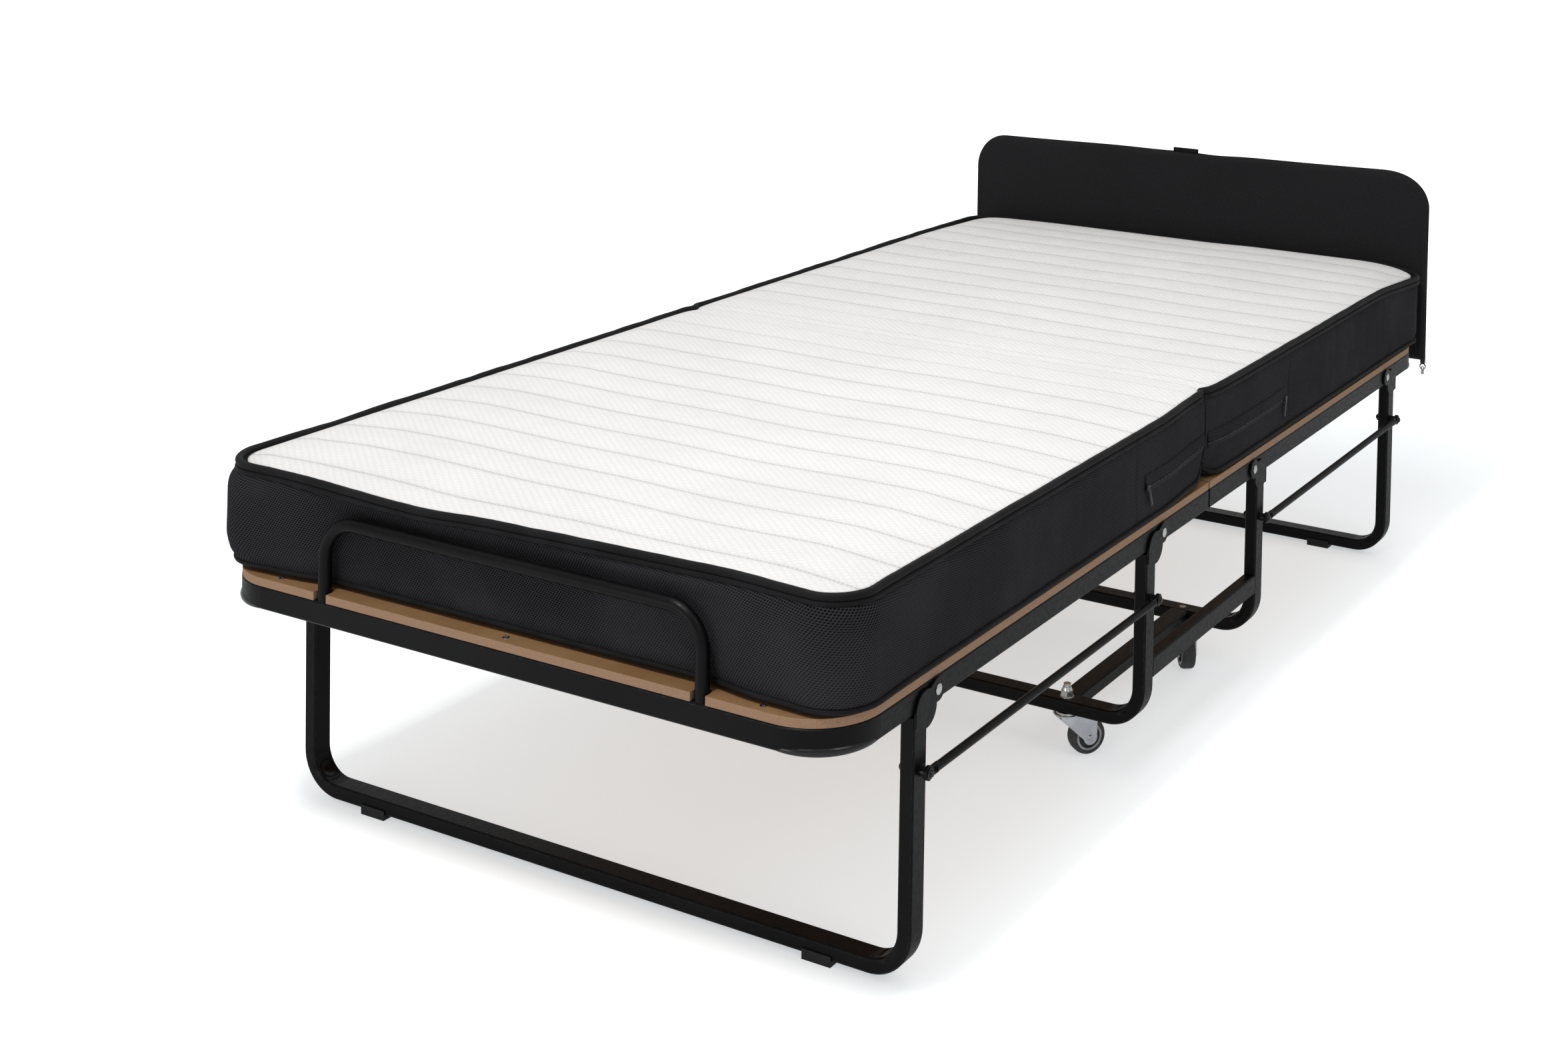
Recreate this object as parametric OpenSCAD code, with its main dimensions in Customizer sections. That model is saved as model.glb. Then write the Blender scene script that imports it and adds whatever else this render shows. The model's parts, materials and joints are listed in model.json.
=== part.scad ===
// Folding rollaway bed: two hinged deck frames on a castored carriage,
// parallel-link end legs, a two-block mattress and an upholstered headboard.
// X runs along the bed (foot end negative), Y across it (left positive), Z up from the floor.

/* [Bed] */
// Width across the two deck frames
deck_width = 900; // [860:10:940]
// Length of both deck frames together
deck_length = 1900; // [1860:10:1940]
// Height of the deck hinge line above the floor
hinge_height = 318; // [316:1:322]
// Distance from the centre line to each carriage hinge
hinge_offset = 160; // [158:1:164]

/* [Tubes] */
// Tall side of the rectangular tube
tube_tall = 28; // [26:1:28]
// Thin side of the rectangular tube
tube_thin = 18; // [16:1:18]
// Tube wall thickness
tube_wall = 1.5; // [1:0.1:2]
// Centre-line radius of the deck frame corners
corner_radius = 72; // [60:1:90]
// Centre-line radius of the leg bends
leg_bend = 46; // [40:1:55]

/* [Board and mattress] */
// Thickness of the deck boards
board_thick = 10; // [8:1:12]
// Thickness of the mattress
mattress_thick = 127; // [110:1:130]
// Width of the mattress
mattress_width = 888; // [860:2:896]
// Plan radius of the mattress corners
mattress_corner = 62; // [50:1:80]

/* [Headboard] */
// Width of the headboard panel
headboard_width = 896; // [860:2:900]
// Height of the headboard top above the floor
headboard_top = 626; // [600:1:630]
// Thickness of the headboard panel
headboard_thick = 24; // [18:1:28]

/* [Links] */
// Diameter of the round link rods
rod_diameter = 10; // [8:1:12]
// Drop from the hinge line to the link bolts
link_drop = 79; // [75:1:82]

/* [Castors] */
// Castor wheel diameter
wheel_diameter = 50; // [46:1:50]
// Castor wheel width
wheel_width = 20; // [16:1:22]
// Distance the wheel trails behind its stem
castor_trail = 30; // [26:1:32]

/* [Hidden] */
$fn = 48;

// Clearances
run = 0.05;  // radial, running pins
fix = 0.02;  // radial, fixed pins
seam = 0.05; // between parts that meet face to face

// Decks
half_width = deck_width / 2;
half_length = deck_length / 2;
deck_inner = half_width - tube_thin;      // inner face of the side tubes
deck_gap = 2.5;                           // each deck stops this short of the centre
deck_top = hinge_height + tube_tall / 2;
board_top = deck_top + board_thick;
board_inset = 0.5;                        // board edge set in from the frame
board_gap = 2.3;                          // each board stops this short of the centre
near_bar_x = deck_gap + tube_thin / 2;    // cross tube beside the centre line
screw_radius = 2;
screw_head = 2.2;                         // depth of the screw head
screw_spots = [for (x = [13.5 - half_length, -near_bar_x]) for (y = [-348, 0, 348]) [x, y]];

// Legs and hinges
end_hinge = 755;                          // end leg hinge from the centre line
leg_offset = 32;                          // legs stand this far outboard of their hinge
mid_leg = hinge_offset + leg_offset;
end_leg = end_hinge + leg_offset;
leg_outer = half_width + 0.6;             // outer face of the leg tubes
leg_inner = leg_outer - tube_thin;
leg_centre = leg_outer - tube_thin / 2;
leg_top = hinge_height - tube_tall / 2 - 4;
plate_thick = 3;
pivot_radius = 4;
pad_floor = 6;                            // thickness of the pads under the end legs

// Carriage
cross_low = 63;                           // underside of the carriage cross tubes
cross_top = cross_low + tube_thin;
side_rail_low = 127;                      // underside of the outer carriage rails
lower_y = 331;                            // lower carriage rails, castor stems and leg pads
rail_end = mid_leg - tube_tall / 2;

// Links
bolt_height = hinge_height - link_drop;
bolt_radius = 3;
rod_y = leg_outer + 10.4;                 // centre plane of the link rods
rod_length = end_leg - mid_leg;           // between bolt centres

// Castors
stem_radius = 5;
axle_radius = 3;
axle_height = 25;
fork_plate = 2.2;                         // plate thickness
fork_top = 59.5;
fork_inner = wheel_width / 2 + 1.5;       // inner face of the cheeks
fork_lead = 14;                           // reach ahead of the stem
fork_tail = 10;                           // reach behind the axle
// Castors 1 to 4: end (foot -1), side (right -1), trailing direction in degrees
castors = [[-1, -1, -36], [-1, 1, 24], [1, -1, 216], [1, 1, 168]];

// Mattress and its hoop
hoop_x = half_length - tube_thin / 2;
hoop_y = 273;
hoop_top = 428;
hoop_radius = 8;                          // of the round tube
hoop_bend = 46;
mattress_low = board_top + 0.5;
mattress_half = mattress_width / 2;
fold_radius = hinge_offset - deck_gap;    // inner end of each block swings inside this

// Headboard
headboard_gap = 10;                       // from the head frame to the panel
headboard_front = half_length + headboard_gap;
headboard_bottom = hinge_height - 20;
headboard_half = headboard_width / 2;
bracket_y = 300;
bracket_bolt = 4;                         // radius

// Centres the overall length on X = 0
centre_shift = -(headboard_front + headboard_thick - half_length) / 2;

black = [0.08, 0.08, 0.085];
steel = [0.78, 0.78, 0.78];
tan_board = [0.72, 0.55, 0.38];
cover_white = [0.9, 0.89, 0.88];
cover_black = [0.07, 0.07, 0.08];

// ---- Shared shapes and placing ----

// Centred rectangle with chamfered corners.
module chamfered(width, height, cut) {
  x = width / 2;
  y = height / 2;
  polygon([[x - cut, -y], [x, -y + cut], [x, y - cut], [x - cut, y],
           [-x + cut, y], [-x, y - cut], [-x, -y + cut], [-x + cut, -y]]);
}
module tube_section(width, height) {
  difference() {
    chamfered(width, height, 2);
    chamfered(width - 2*tube_wall, height - 2*tube_wall, 1);
  }
}

// Straight tubes along each axis, with the section's size along the other two.
module tube_x(x0, x1, size_y, size_z) {
  translate([x0, 0, 0]) rotate([0, 90, 0]) linear_extrude(x1 - x0) tube_section(size_z, size_y);
}
module tube_y(y0, y1, size_x, size_z) {
  translate([0, y0, 0]) rotate([-90, 0, 0]) linear_extrude(y1 - y0) tube_section(size_x, size_z);
}
module tube_z(z0, z1, size_x, size_y) {
  translate([0, 0, z0]) linear_extrude(z1 - z0) tube_section(size_x, size_y);
}
// Quarter bend about Z, thin side radial.
module tube_bend(radius) {
  rotate_extrude(angle = 90) translate([radius, 0]) tube_section(tube_thin, tube_tall);
}

module cyl_x(x0, x1, radius) {
  translate([x0, 0, 0]) rotate([0, 90, 0]) cylinder(h = x1 - x0, r = radius);
}
module cyl_y(y0, y1, radius) {
  translate([0, y0, 0]) rotate([-90, 0, 0]) cylinder(h = y1 - y0, r = radius);
}
// Cone along Y from y0, its end radii in order of rising Y.
module cone_y(y0, length, r1, r2) {
  translate([0, y0, 0]) rotate([-90, 0, 0]) cylinder(h = length, r1 = r1, r2 = r2);
}

module place() { translate([centre_shift, 0, 0]) children(); }
module mirror_x() { mirror([1, 0, 0]) children(); }
module both_sides() {
  children();
  mirror([0, 1, 0]) children();
}
module at_screws() {
  for (spot = screw_spots) translate([spot[0], spot[1], 0]) children();
}
module at_brackets() {
  for (s = [-1, 1]) translate([half_length, s*bracket_y, hinge_height]) children();
}
module at_castor(number) {
  castor = castors[number - 1];
  translate([centre_shift + castor[0]*mid_leg, castor[1]*lower_y, 0])
    rotate([0, 0, castor[2]]) children();
}

// Plan from X = -far, where the corners are rounded, to X = -near.
module rounded_plan(far, near, half, radius) {
  translate([-far + radius, -half]) square([far - radius - near, 2*half]);
  translate([-far, -half + radius]) square([radius + 1, 2*(half - radius)]);
  for (s = [-1, 1]) translate([-far + radius, s*(half - radius)]) circle(r = radius);
}

// ---- Decks, drawn with their far end at negative X ----

module deck_frame() {
  side_y = half_width - tube_thin/2;
  end_x = half_length - tube_thin/2;
  bend_x = -end_x + corner_radius;
  bend_y = side_y - corner_radius;
  difference() {
    translate([0, 0, hinge_height]) union() {
      both_sides() translate([0, side_y, 0]) tube_x(bend_x, -deck_gap, tube_thin, tube_tall);
      translate([-end_x, 0, 0]) tube_y(-bend_y, bend_y, tube_thin, tube_tall);
      both_sides() translate([bend_x, bend_y, 0]) rotate([0, 0, 90]) tube_bend(corner_radius);
      translate([-near_bar_x, 0, 0]) tube_y(-deck_inner, deck_inner, tube_thin, tube_tall);
    }
    for (x = [hinge_offset, end_hinge]) translate([-x, 0, hinge_height])
      both_sides() cyl_y(deck_inner - 1, half_width + 1, pivot_radius + run);
    at_screws() translate([0, 0, deck_top - 4]) cylinder(h = 6, r = screw_radius + fix);
  }
}

// Deck board, with two edge slots for the hoop posts when notched.
module deck_board(notched) {
  slot = hoop_radius + 2;
  cut_low = deck_top - 1;
  cut_height = board_thick + 2;
  difference() {
    translate([0, 0, deck_top]) linear_extrude(board_thick)
      rounded_plan(far = half_length - board_inset, near = board_gap,
                   half = half_width - board_inset,
                   radius = corner_radius + tube_thin/2 - board_inset);
    at_screws() {
      translate([0, 0, cut_low]) cylinder(h = cut_height, r = screw_radius + fix);
      translate([0, 0, board_top - screw_head]) cylinder(h = 2.6, r1 = 2.05, r2 = 4.65);
    }
    if (notched) for (s = [-1, 1]) {
      translate([-hoop_x, s*hoop_y, cut_low]) cylinder(h = cut_height, r = slot);
      translate([-hoop_x - 20, s*hoop_y - slot, cut_low]) cube([20, 2*slot, cut_height]);
    }
  }
}

// Countersunk cross-head screws.
module screws() {
  head_radius = 4.2;
  recess = 0.9; // width of the cross recess
  recess_low = 1.1;
  at_screws() {
    translate([0, 0, deck_top - 8]) cylinder(h = board_thick + 6.2, r = screw_radius);
    translate([0, 0, board_top - screw_head]) difference() {
      cylinder(h = screw_head, r1 = screw_radius, r2 = head_radius);
      translate([-2.2, -recess/2, recess_low]) cube([4.4, recess, 2]);
      translate([-recess/2, -2.2, recess_low]) cube([recess, 4.4, 2]);
    }
  }
}

module foot_frame() { color(black) place() deck_frame(); }
module foot_board() { color(tan_board) place() deck_board(true); }
module foot_board_screws() { color(steel) place() screws(); }
module head_frame() {
  color(black) place() difference() {
    mirror_x() deck_frame();
    at_brackets() cyl_x(-tube_thin - 1, 1, bracket_bolt + fix);
  }
}
module head_board() { color(tan_board) place() mirror_x() deck_board(false); }
module head_board_screws() { color(steel) place() mirror_x() screws(); }

// ---- Legs, hinges and links ----

// U-shaped leg pair standing at x, with the tube's underside at low.
module leg_hoop(x, low) {
  bend_y = leg_centre - leg_bend;
  bar_z = low + tube_thin/2;
  bend_z = bar_z + leg_bend;
  translate([x, 0, 0]) difference() {
    union() {
      both_sides() translate([0, leg_centre, 0]) tube_z(bend_z, leg_top, tube_tall, tube_thin);
      translate([0, 0, bar_z]) tube_y(-bend_y, bend_y, tube_tall, tube_thin);
      both_sides() translate([0, bend_y, bend_z]) rotate([0, 90, 0]) tube_bend(leg_bend);
    }
    translate([0, 0, bolt_height]) both_sides()
      cyl_y(leg_inner - 1, leg_outer + 1, bolt_radius + fix);
  }
}

// Swan-neck plate on the outer face of a leg: leg at x = 0, hinge at x = dir * leg_offset.
module hinge_plate(dir) {
  eye_radius = 13.5;
  // Neck outline: x from the leg towards the hinge, y above the hinge line
  neck = [[-14, 14], [-14, 30], [14.6, 30], [14.6, 27], [16, 22], [20, 17], [27, 13.5],
          [leg_offset + 4, 12.9], [leg_offset, -eye_radius], [19, -8.5]];
  translate([0, leg_outer, hinge_height]) rotate([-90, 0, 0]) linear_extrude(plate_thick)
    scale([dir, 1]) difference() {
      union() {
        translate([leg_offset, 0]) circle(r = eye_radius);
        polygon(neck);
        translate([7.5, 13]) circle(r = 21.5);
      }
      translate([leg_offset, 0]) circle(r = pivot_radius + fix);
    }
}

// Hinge rivet along Y, with a bevelled head outside the plate and a flat one inside the deck.
module hinge_rivet() {
  plate_face = leg_outer + plate_thick;
  translate([0, 0, hinge_height]) {
    cyl_y(deck_inner - 0.6, plate_face + seam, pivot_radius);
    cyl_y(plate_face + seam, plate_face + 1, 6.2);
    cone_y(plate_face + 1, 1.2, r1 = 6.2, r2 = 3.4);
    cyl_y(deck_inner - 2.4, deck_inner - 0.4, 6);
  }
}

// Link bolt through a leg: shank, spacer sleeve, head outside the rod, nut inside the leg.
module link_bolt() {
  head_y = rod_y + 2.2;
  translate([0, 0, bolt_height]) {
    cyl_y(leg_inner - 7, head_y, bolt_radius);
    cyl_y(leg_outer + seam, rod_y - 2.3, 5.5);
    cyl_y(head_y, head_y + 1.2, 6);
    cone_y(head_y + 1.2, 2.6, r1 = 5.2, r2 = 3);
    cyl_y(leg_inner - 5, leg_inner - 0.1, 5.8, $fn = 6);
  }
}

// Left head rod, from carriage leg to end leg: round bar with flattened eyes.
module link_rod() {
  bar_start = 17; // round bar starts this far from the bolt
  flat_length = 20;
  flat_thick = 4;
  flat_height = 11;
  translate([mid_leg, rod_y, bolt_height]) difference() {
    union() {
      cyl_x(bar_start, rod_length - bar_start, rod_diameter/2);
      for (x = [0, rod_length]) translate([x, 0, 0]) cyl_y(-flat_thick/2, flat_thick/2, 8);
      for (x = [0, rod_length - flat_length])
        translate([x, -flat_thick/2, -flat_height/2]) cube([flat_length, flat_thick, flat_height]);
      for (x = [bar_start, rod_length - bar_start])
        translate([x, 0, 0]) scale([1.2, 1, 1]) cyl_x(-3, 3, rod_diameter/2);
    }
    cyl_y(-9, 9, bolt_radius + run);
    translate([rod_length, 0, 0]) cyl_y(-9, 9, bolt_radius + 0.1);
  }
}

// End legs and rods: end is -1 for foot and 1 for head, side is -1 for right and 1 for left.
module end_leg_hoop(end) { color(black) place() leg_hoop(end*end_leg, pad_floor + seam); }
module end_leg_plates(end) {
  color(black) place() both_sides() translate([end*end_leg, 0, 0]) hinge_plate(-end);
}
module end_leg_rivets(end) {
  color(steel) place() both_sides() translate([end*end_hinge, 0, 0]) hinge_rivet();
}
module end_leg_bolts(end) {
  color(black) place() both_sides() translate([end*end_leg, 0, 0]) link_bolt();
}
// Floor pads with a channel for the leg's bottom tube.
module end_leg_pads(end) {
  wall = 2;
  pad_width = 38;
  color([0.05, 0.05, 0.05]) place() for (s = [-1, 1])
    translate([end*end_leg, s*lower_y, 0]) difference() {
      translate([-tube_tall/2 - wall, -pad_width/2, 0]) cube([tube_tall + 2*wall, pad_width, 12]);
      translate([-tube_tall/2 - seam, -pad_width/2 - 1, pad_floor])
        cube([tube_tall + 2*seam, pad_width + 2, 8]);
    }
}
module rod(end, side) { color(black) place() scale([end, side, 1]) link_rod(); }

// ---- Carriage ----

module carriage_hoop(end) {
  color(black) place() difference() {
    leg_hoop(end*mid_leg, cross_low);
    for (s = [-1, 1]) translate([end*mid_leg, s*lower_y, cross_low - 1])
      cylinder(h = tube_thin + 2, r = stem_radius + fix);
  }
}
module carriage_side_rails() {
  color(black) place() both_sides() translate([0, leg_centre, side_rail_low + tube_tall/2])
    tube_x(-rail_end, rail_end, tube_thin, tube_tall);
}
module carriage_lower_rails() {
  color(black) place() both_sides() translate([0, lower_y, cross_low + tube_thin/2])
    tube_x(-rail_end, rail_end, tube_tall, tube_thin);
}
module carriage_hinge_plates() {
  color(black) place() both_sides()
    for (end = [-1, 1]) translate([end*mid_leg, 0, 0]) hinge_plate(-end);
}
module carriage_hinge_rivets() {
  color(steel) place() both_sides()
    for (end = [-1, 1]) translate([end*hinge_offset, 0, 0]) hinge_rivet();
}
module carriage_link_bolts() {
  color(black) place() both_sides()
    for (end = [-1, 1]) translate([end*mid_leg, 0, 0]) link_bolt();
}

// ---- Castors, stem at the origin and wheel trailing towards +X ----

// Flanged stem; with a nut it runs on through a washer, nut and cap above the cross tube.
module castor_stem(nut) {
  stem_low = 55;
  translate([0, 0, 54.8]) cylinder(h = 2.4, r = 8);
  translate([0, 0, stem_low]) cylinder(h = nut ? 44.5 : cross_top - stem_low, r = stem_radius);
  translate([0, 0, 59.9]) cylinder(h = 3.05, r = 15);
  if (nut) translate([0, 0, cross_top + seam]) {
    cylinder(h = 1.4, r = 9.5);
    translate([0, 0, 1.4]) cylinder(h = 8, r = 9, $fn = 6);
    translate([0, 0, 9.4]) cylinder(h = 4.5, r1 = 7, r2 = 6);
  }
}
// Only the two foot-end stems have nuts.
module castor_stems() {
  color(steel) for (number = [1:4]) at_castor(number) castor_stem(number <= 2);
}

module castor_fork(number) {
  crown_low = fork_top - fork_plate;
  fork_outer = fork_inner + fork_plate;
  // Cheek outline: x from the stem, y above the floor
  cheek = [[-fork_lead, fork_top], [-fork_lead, 55], [castor_trail - 9.6, 23],
           [castor_trail + 9.6, 23], [castor_trail + fork_tail, fork_top]];
  color(steel) at_castor(number) difference() {
    union() {
      both_sides() translate([0, fork_outer, 0]) rotate([90, 0, 0])
        linear_extrude(fork_plate) union() {
          polygon(cheek);
          translate([castor_trail, axle_height]) circle(r = 10);
        }
      translate([-fork_lead, -fork_outer, crown_low])
        cube([castor_trail + fork_lead + fork_tail, 2*fork_outer, fork_plate]);
      translate([0, 0, crown_low]) cylinder(h = fork_plate, r = 17);
    }
    translate([0, 0, 50]) cylinder(h = 15, r = stem_radius + run);
    translate([castor_trail, 0, axle_height])
      cyl_y(-fork_inner - 9, fork_inner + 9, axle_radius + fix);
  }
}
module castor_axle(number) {
  head_y = fork_inner + fork_plate + seam;
  color(steel) at_castor(number) translate([castor_trail, 0, axle_height]) {
    cyl_y(-head_y, head_y, axle_radius);
    both_sides() cone_y(head_y, 1.4, r1 = 4.4, r2 = 2.8);
  }
}
module castor_wheel(number) {
  half = wheel_width / 2;
  rim = wheel_diameter / 2;
  // Side face from bore to tread: radius, depth in from the face
  face = [[axle_radius + run, 0], [8, 0], [8.6, 3], [15, 3], [15.4, 1], [18.6, 1], [19.2, 0],
          [rim - 3, 0], [rim - 0.9, 1.6], [rim, 5]];
  profile = concat([for (p = face) [p[0], p[1] - half]],
                   [for (i = [len(face) - 1:-1:0]) [face[i][0], half - face[i][1]]]);
  color([0.16, 0.16, 0.17]) at_castor(number) translate([castor_trail, 0, axle_height])
    rotate([90, 0, 0]) rotate_extrude() polygon(profile);
}
// Flat rings in the grooves of the wheel's two faces.
module castor_rings(number) {
  half = wheel_width / 2;
  ring_thick = 0.95;
  color([0.5, 0.5, 0.5]) at_castor(number) translate([castor_trail, 0, axle_height])
    rotate([90, 0, 0]) for (y = [-half, half - ring_thick])
      rotate_extrude() translate([15.5, y]) square([3, ring_thick]);
}

// ---- Mattress ----

// Round-tube hoop that keeps the mattress on the foot deck when it stands upright.
module mattress_hoop() {
  bend_y = hoop_y - hoop_bend;
  bend_z = hoop_top - hoop_bend;
  color(black) place() translate([-hoop_x, 0, 0]) {
    both_sides() translate([0, hoop_y, deck_top])
      cylinder(h = bend_z - deck_top, r = hoop_radius);
    both_sides() translate([0, bend_y, bend_z]) rotate([90, 0, 90])
      rotate_extrude(angle = 90) translate([hoop_bend, 0]) circle(r = hoop_radius);
    translate([0, 0, hoop_top]) cyl_y(-bend_y, bend_y, hoop_radius);
  }
}

// Block with its far end at X = -far and its inner end rounded about the hinge.
module mattress_block(far) {
  spare = 10; // the cutting shape oversails the block by this
  intersection() {
    translate([0, 0, mattress_low]) linear_extrude(mattress_thick)
      rounded_plan(far = far, near = deck_gap, half = mattress_half, radius = mattress_corner);
    translate([0, mattress_half + spare, 0]) rotate([90, 0, 0])
      linear_extrude(2*(mattress_half + spare)) union() {
        translate([-far - spare, 0]) square([far + spare - hinge_offset, 600]);
        translate([-hinge_offset, hinge_height]) circle(r = fold_radius, $fn = 96);
      }
  }
}
module mattress_foot() { color(cover_white) place() mattress_block(half_length - 21); }
module mattress_head() { color(cover_white) place() mirror_x() mattress_block(half_length - 1); }
// Foam and cover between the two blocks at the fold.
module mattress_centre() {
  color(cover_white) place() translate([0, mattress_half, 0]) rotate([90, 0, 0])
    linear_extrude(mattress_width) difference() {
      translate([-hinge_offset, mattress_low + 1]) square([2*hinge_offset, mattress_thick - 1]);
      for (s = [-1, 1]) translate([s*hinge_offset, hinge_height])
        circle(r = fold_radius + 1, $fn = 96);
    }
}

// ---- Headboard ----

module headboard_panel() {
  corner = 50;
  half = headboard_half;
  height = headboard_top - headboard_bottom;
  color(cover_black) place() translate([headboard_front, 0, headboard_bottom])
    rotate([90, 0, 90]) difference() {
      linear_extrude(headboard_thick) union() {
        translate([-half, 0]) square([2*half, height - corner]);
        translate([-half + corner, 0]) square([2*(half - corner), height]);
        for (s = [-1, 1]) translate([s*(half - corner), height - corner]) circle(r = corner);
      }
      for (s = [-1, 1]) translate([s*bracket_y, hinge_height - headboard_bottom, -1])
        cylinder(h = 16, r = bracket_bolt + fix);
    }
}
// Spacer pads between the head frame end and the panel.
module headboard_brackets() {
  color(black) place() at_brackets() translate([seam, 0, 0]) difference() {
    translate([0, -20, -13]) cube([headboard_gap - 2*seam, 40, 26]);
    cyl_x(-1, 12, bracket_bolt + fix);
  }
}
module headboard_bolts() {
  color(steel) place() at_brackets() {
    cyl_x(-tube_thin - 0.1, 23, bracket_bolt);
    cyl_x(-tube_thin - 5, -tube_thin - seam, 7);
  }
}
// Webbing loop on the top edge of the panel.
module headboard_loop() {
  color(cover_black) place()
    translate([headboard_front + headboard_thick/2, 20, headboard_top]) difference() {
      translate([-3, -24, seam]) cube([6, 48, 7.6]);
      translate([-4, -21, 2.2]) cube([8, 42, 3.6]);
    }
}
// Slider, ring and pull tab of the cover's zip at the panel's right bottom corner.
module headboard_zip_pull() {
  color(steel) place()
    translate([headboard_front + headboard_thick - 6, -headboard_half + 3.2, headboard_bottom]) {
      translate([-2.5, -4, -6 - seam]) cube([5, 8, 6]);
      translate([0, 0, -12]) rotate([0, 90, 0])
        rotate_extrude() translate([5, 0]) circle(r = 1.2, $fn = 24);
      translate([-1, -2.5, -26]) difference() {
        cube([2, 5, 14]);
        translate([-1, 1.4, 9.5]) cube([4, 2.2, 3]);
      }
    }
}

carriage_hoop(-1);  // carriage_hoop_foot
carriage_hoop(1);  // carriage_hoop_head
carriage_side_rails();
carriage_lower_rails();
carriage_hinge_plates();
carriage_hinge_rivets();
carriage_link_bolts();
castor_stems();
castor_fork(1);  // castor_1_fork
castor_axle(1);  // castor_1_axle
castor_wheel(1);  // castor_1_wheel
castor_rings(1);  // castor_1_rings
castor_fork(2);  // castor_2_fork
castor_axle(2);  // castor_2_axle
castor_wheel(2);  // castor_2_wheel
castor_rings(2);  // castor_2_rings
castor_fork(3);  // castor_3_fork
castor_axle(3);  // castor_3_axle
castor_wheel(3);  // castor_3_wheel
castor_rings(3);  // castor_3_rings
castor_fork(4);  // castor_4_fork
castor_axle(4);  // castor_4_axle
castor_wheel(4);  // castor_4_wheel
castor_rings(4);  // castor_4_rings
foot_frame();
foot_board();
foot_board_screws();
mattress_hoop();
mattress_foot();
head_frame();
head_board();
head_board_screws();
mattress_head();
headboard_panel();
headboard_brackets();
headboard_bolts();
headboard_loop();
headboard_zip_pull();
end_leg_hoop(-1);  // foot_leg
end_leg_plates(-1);  // foot_leg_plates
end_leg_rivets(-1);  // foot_leg_rivets
end_leg_bolts(-1);  // foot_leg_bolts
end_leg_pads(-1);  // foot_leg_pads
end_leg_hoop(1);  // head_leg
end_leg_plates(1);  // head_leg_plates
end_leg_rivets(1);  // head_leg_rivets
end_leg_bolts(1);  // head_leg_bolts
end_leg_pads(1);  // head_leg_pads
rod(-1, 1);  // foot_rod_left
rod(-1, -1);  // foot_rod_right
rod(1, 1);  // head_rod_left
rod(1, -1);  // head_rod_right
mattress_centre();
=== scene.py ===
import json
import math

import bmesh
import bpy
import numpy as np
from mathutils import Matrix, Vector, noise

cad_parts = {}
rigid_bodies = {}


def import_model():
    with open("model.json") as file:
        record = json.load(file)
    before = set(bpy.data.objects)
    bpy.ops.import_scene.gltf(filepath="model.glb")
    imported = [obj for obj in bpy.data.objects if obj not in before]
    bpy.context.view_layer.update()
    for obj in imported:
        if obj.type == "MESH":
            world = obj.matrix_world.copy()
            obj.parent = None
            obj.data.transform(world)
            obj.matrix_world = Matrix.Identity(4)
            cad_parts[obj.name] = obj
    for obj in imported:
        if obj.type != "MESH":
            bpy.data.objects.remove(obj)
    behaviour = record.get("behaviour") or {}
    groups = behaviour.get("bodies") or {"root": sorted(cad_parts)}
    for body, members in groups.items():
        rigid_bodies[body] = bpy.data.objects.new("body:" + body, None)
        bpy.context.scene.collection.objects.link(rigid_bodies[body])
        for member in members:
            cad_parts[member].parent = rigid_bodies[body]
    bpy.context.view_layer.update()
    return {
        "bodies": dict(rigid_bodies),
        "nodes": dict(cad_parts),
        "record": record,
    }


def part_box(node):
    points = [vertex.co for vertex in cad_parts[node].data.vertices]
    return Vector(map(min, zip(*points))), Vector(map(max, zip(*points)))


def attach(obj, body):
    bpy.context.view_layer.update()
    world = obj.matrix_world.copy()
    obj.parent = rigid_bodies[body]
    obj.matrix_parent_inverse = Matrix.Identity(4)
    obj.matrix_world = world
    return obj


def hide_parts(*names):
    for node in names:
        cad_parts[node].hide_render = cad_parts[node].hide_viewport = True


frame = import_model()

NODES = frame["nodes"]
CX = -17.0          # the fold line in the row frame, in mm; soft parts are worked out in mm


# ------------------------------------------------------------------ helpers
def make(name, verts_mm, faces, mat, uv=None, smooth=True, attrs=None):
    """One mesh piece from points in mm in the row frame."""
    me = bpy.data.meshes.new(name)
    v = np.asarray(verts_mm, float) * 0.001
    me.from_pydata(v.tolist(), [], [list(map(int, f)) for f in faces])
    me.validate(verbose=False)
    if uv is not None:
        layer = me.uv_layers.new(name="UVMap")
        idx = np.zeros(len(me.loops), np.int32)
        me.loops.foreach_get("vertex_index", idx)
        layer.data.foreach_set("uv", np.asarray(uv, np.float32)[idx].ravel())
    for key, val in (attrs or {}).items():
        a = me.attributes.new(key, "FLOAT", "POINT")
        a.data.foreach_set("value", np.asarray(val, np.float32))
    bm = bmesh.new()
    bm.from_mesh(me)
    bmesh.ops.recalc_face_normals(bm, faces=bm.faces)
    bm.to_mesh(me)
    bm.free()
    if smooth:
        me.polygons.foreach_set("use_smooth", [True] * len(me.polygons))
    me.materials.append(mat)
    o = bpy.data.objects.new(name, me)
    bpy.context.scene.collection.objects.link(o)
    return o


def grid_faces(nr, nc, base=0, wrap_c=False):
    f = []
    for i in range(nr - 1):
        for j in range(nc if wrap_c else nc - 1):
            k = (j + 1) % nc
            a = base + i * nc
            b = base + (i + 1) * nc
            f.append((a + j, a + k, b + k, b + j))
    return f


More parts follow.
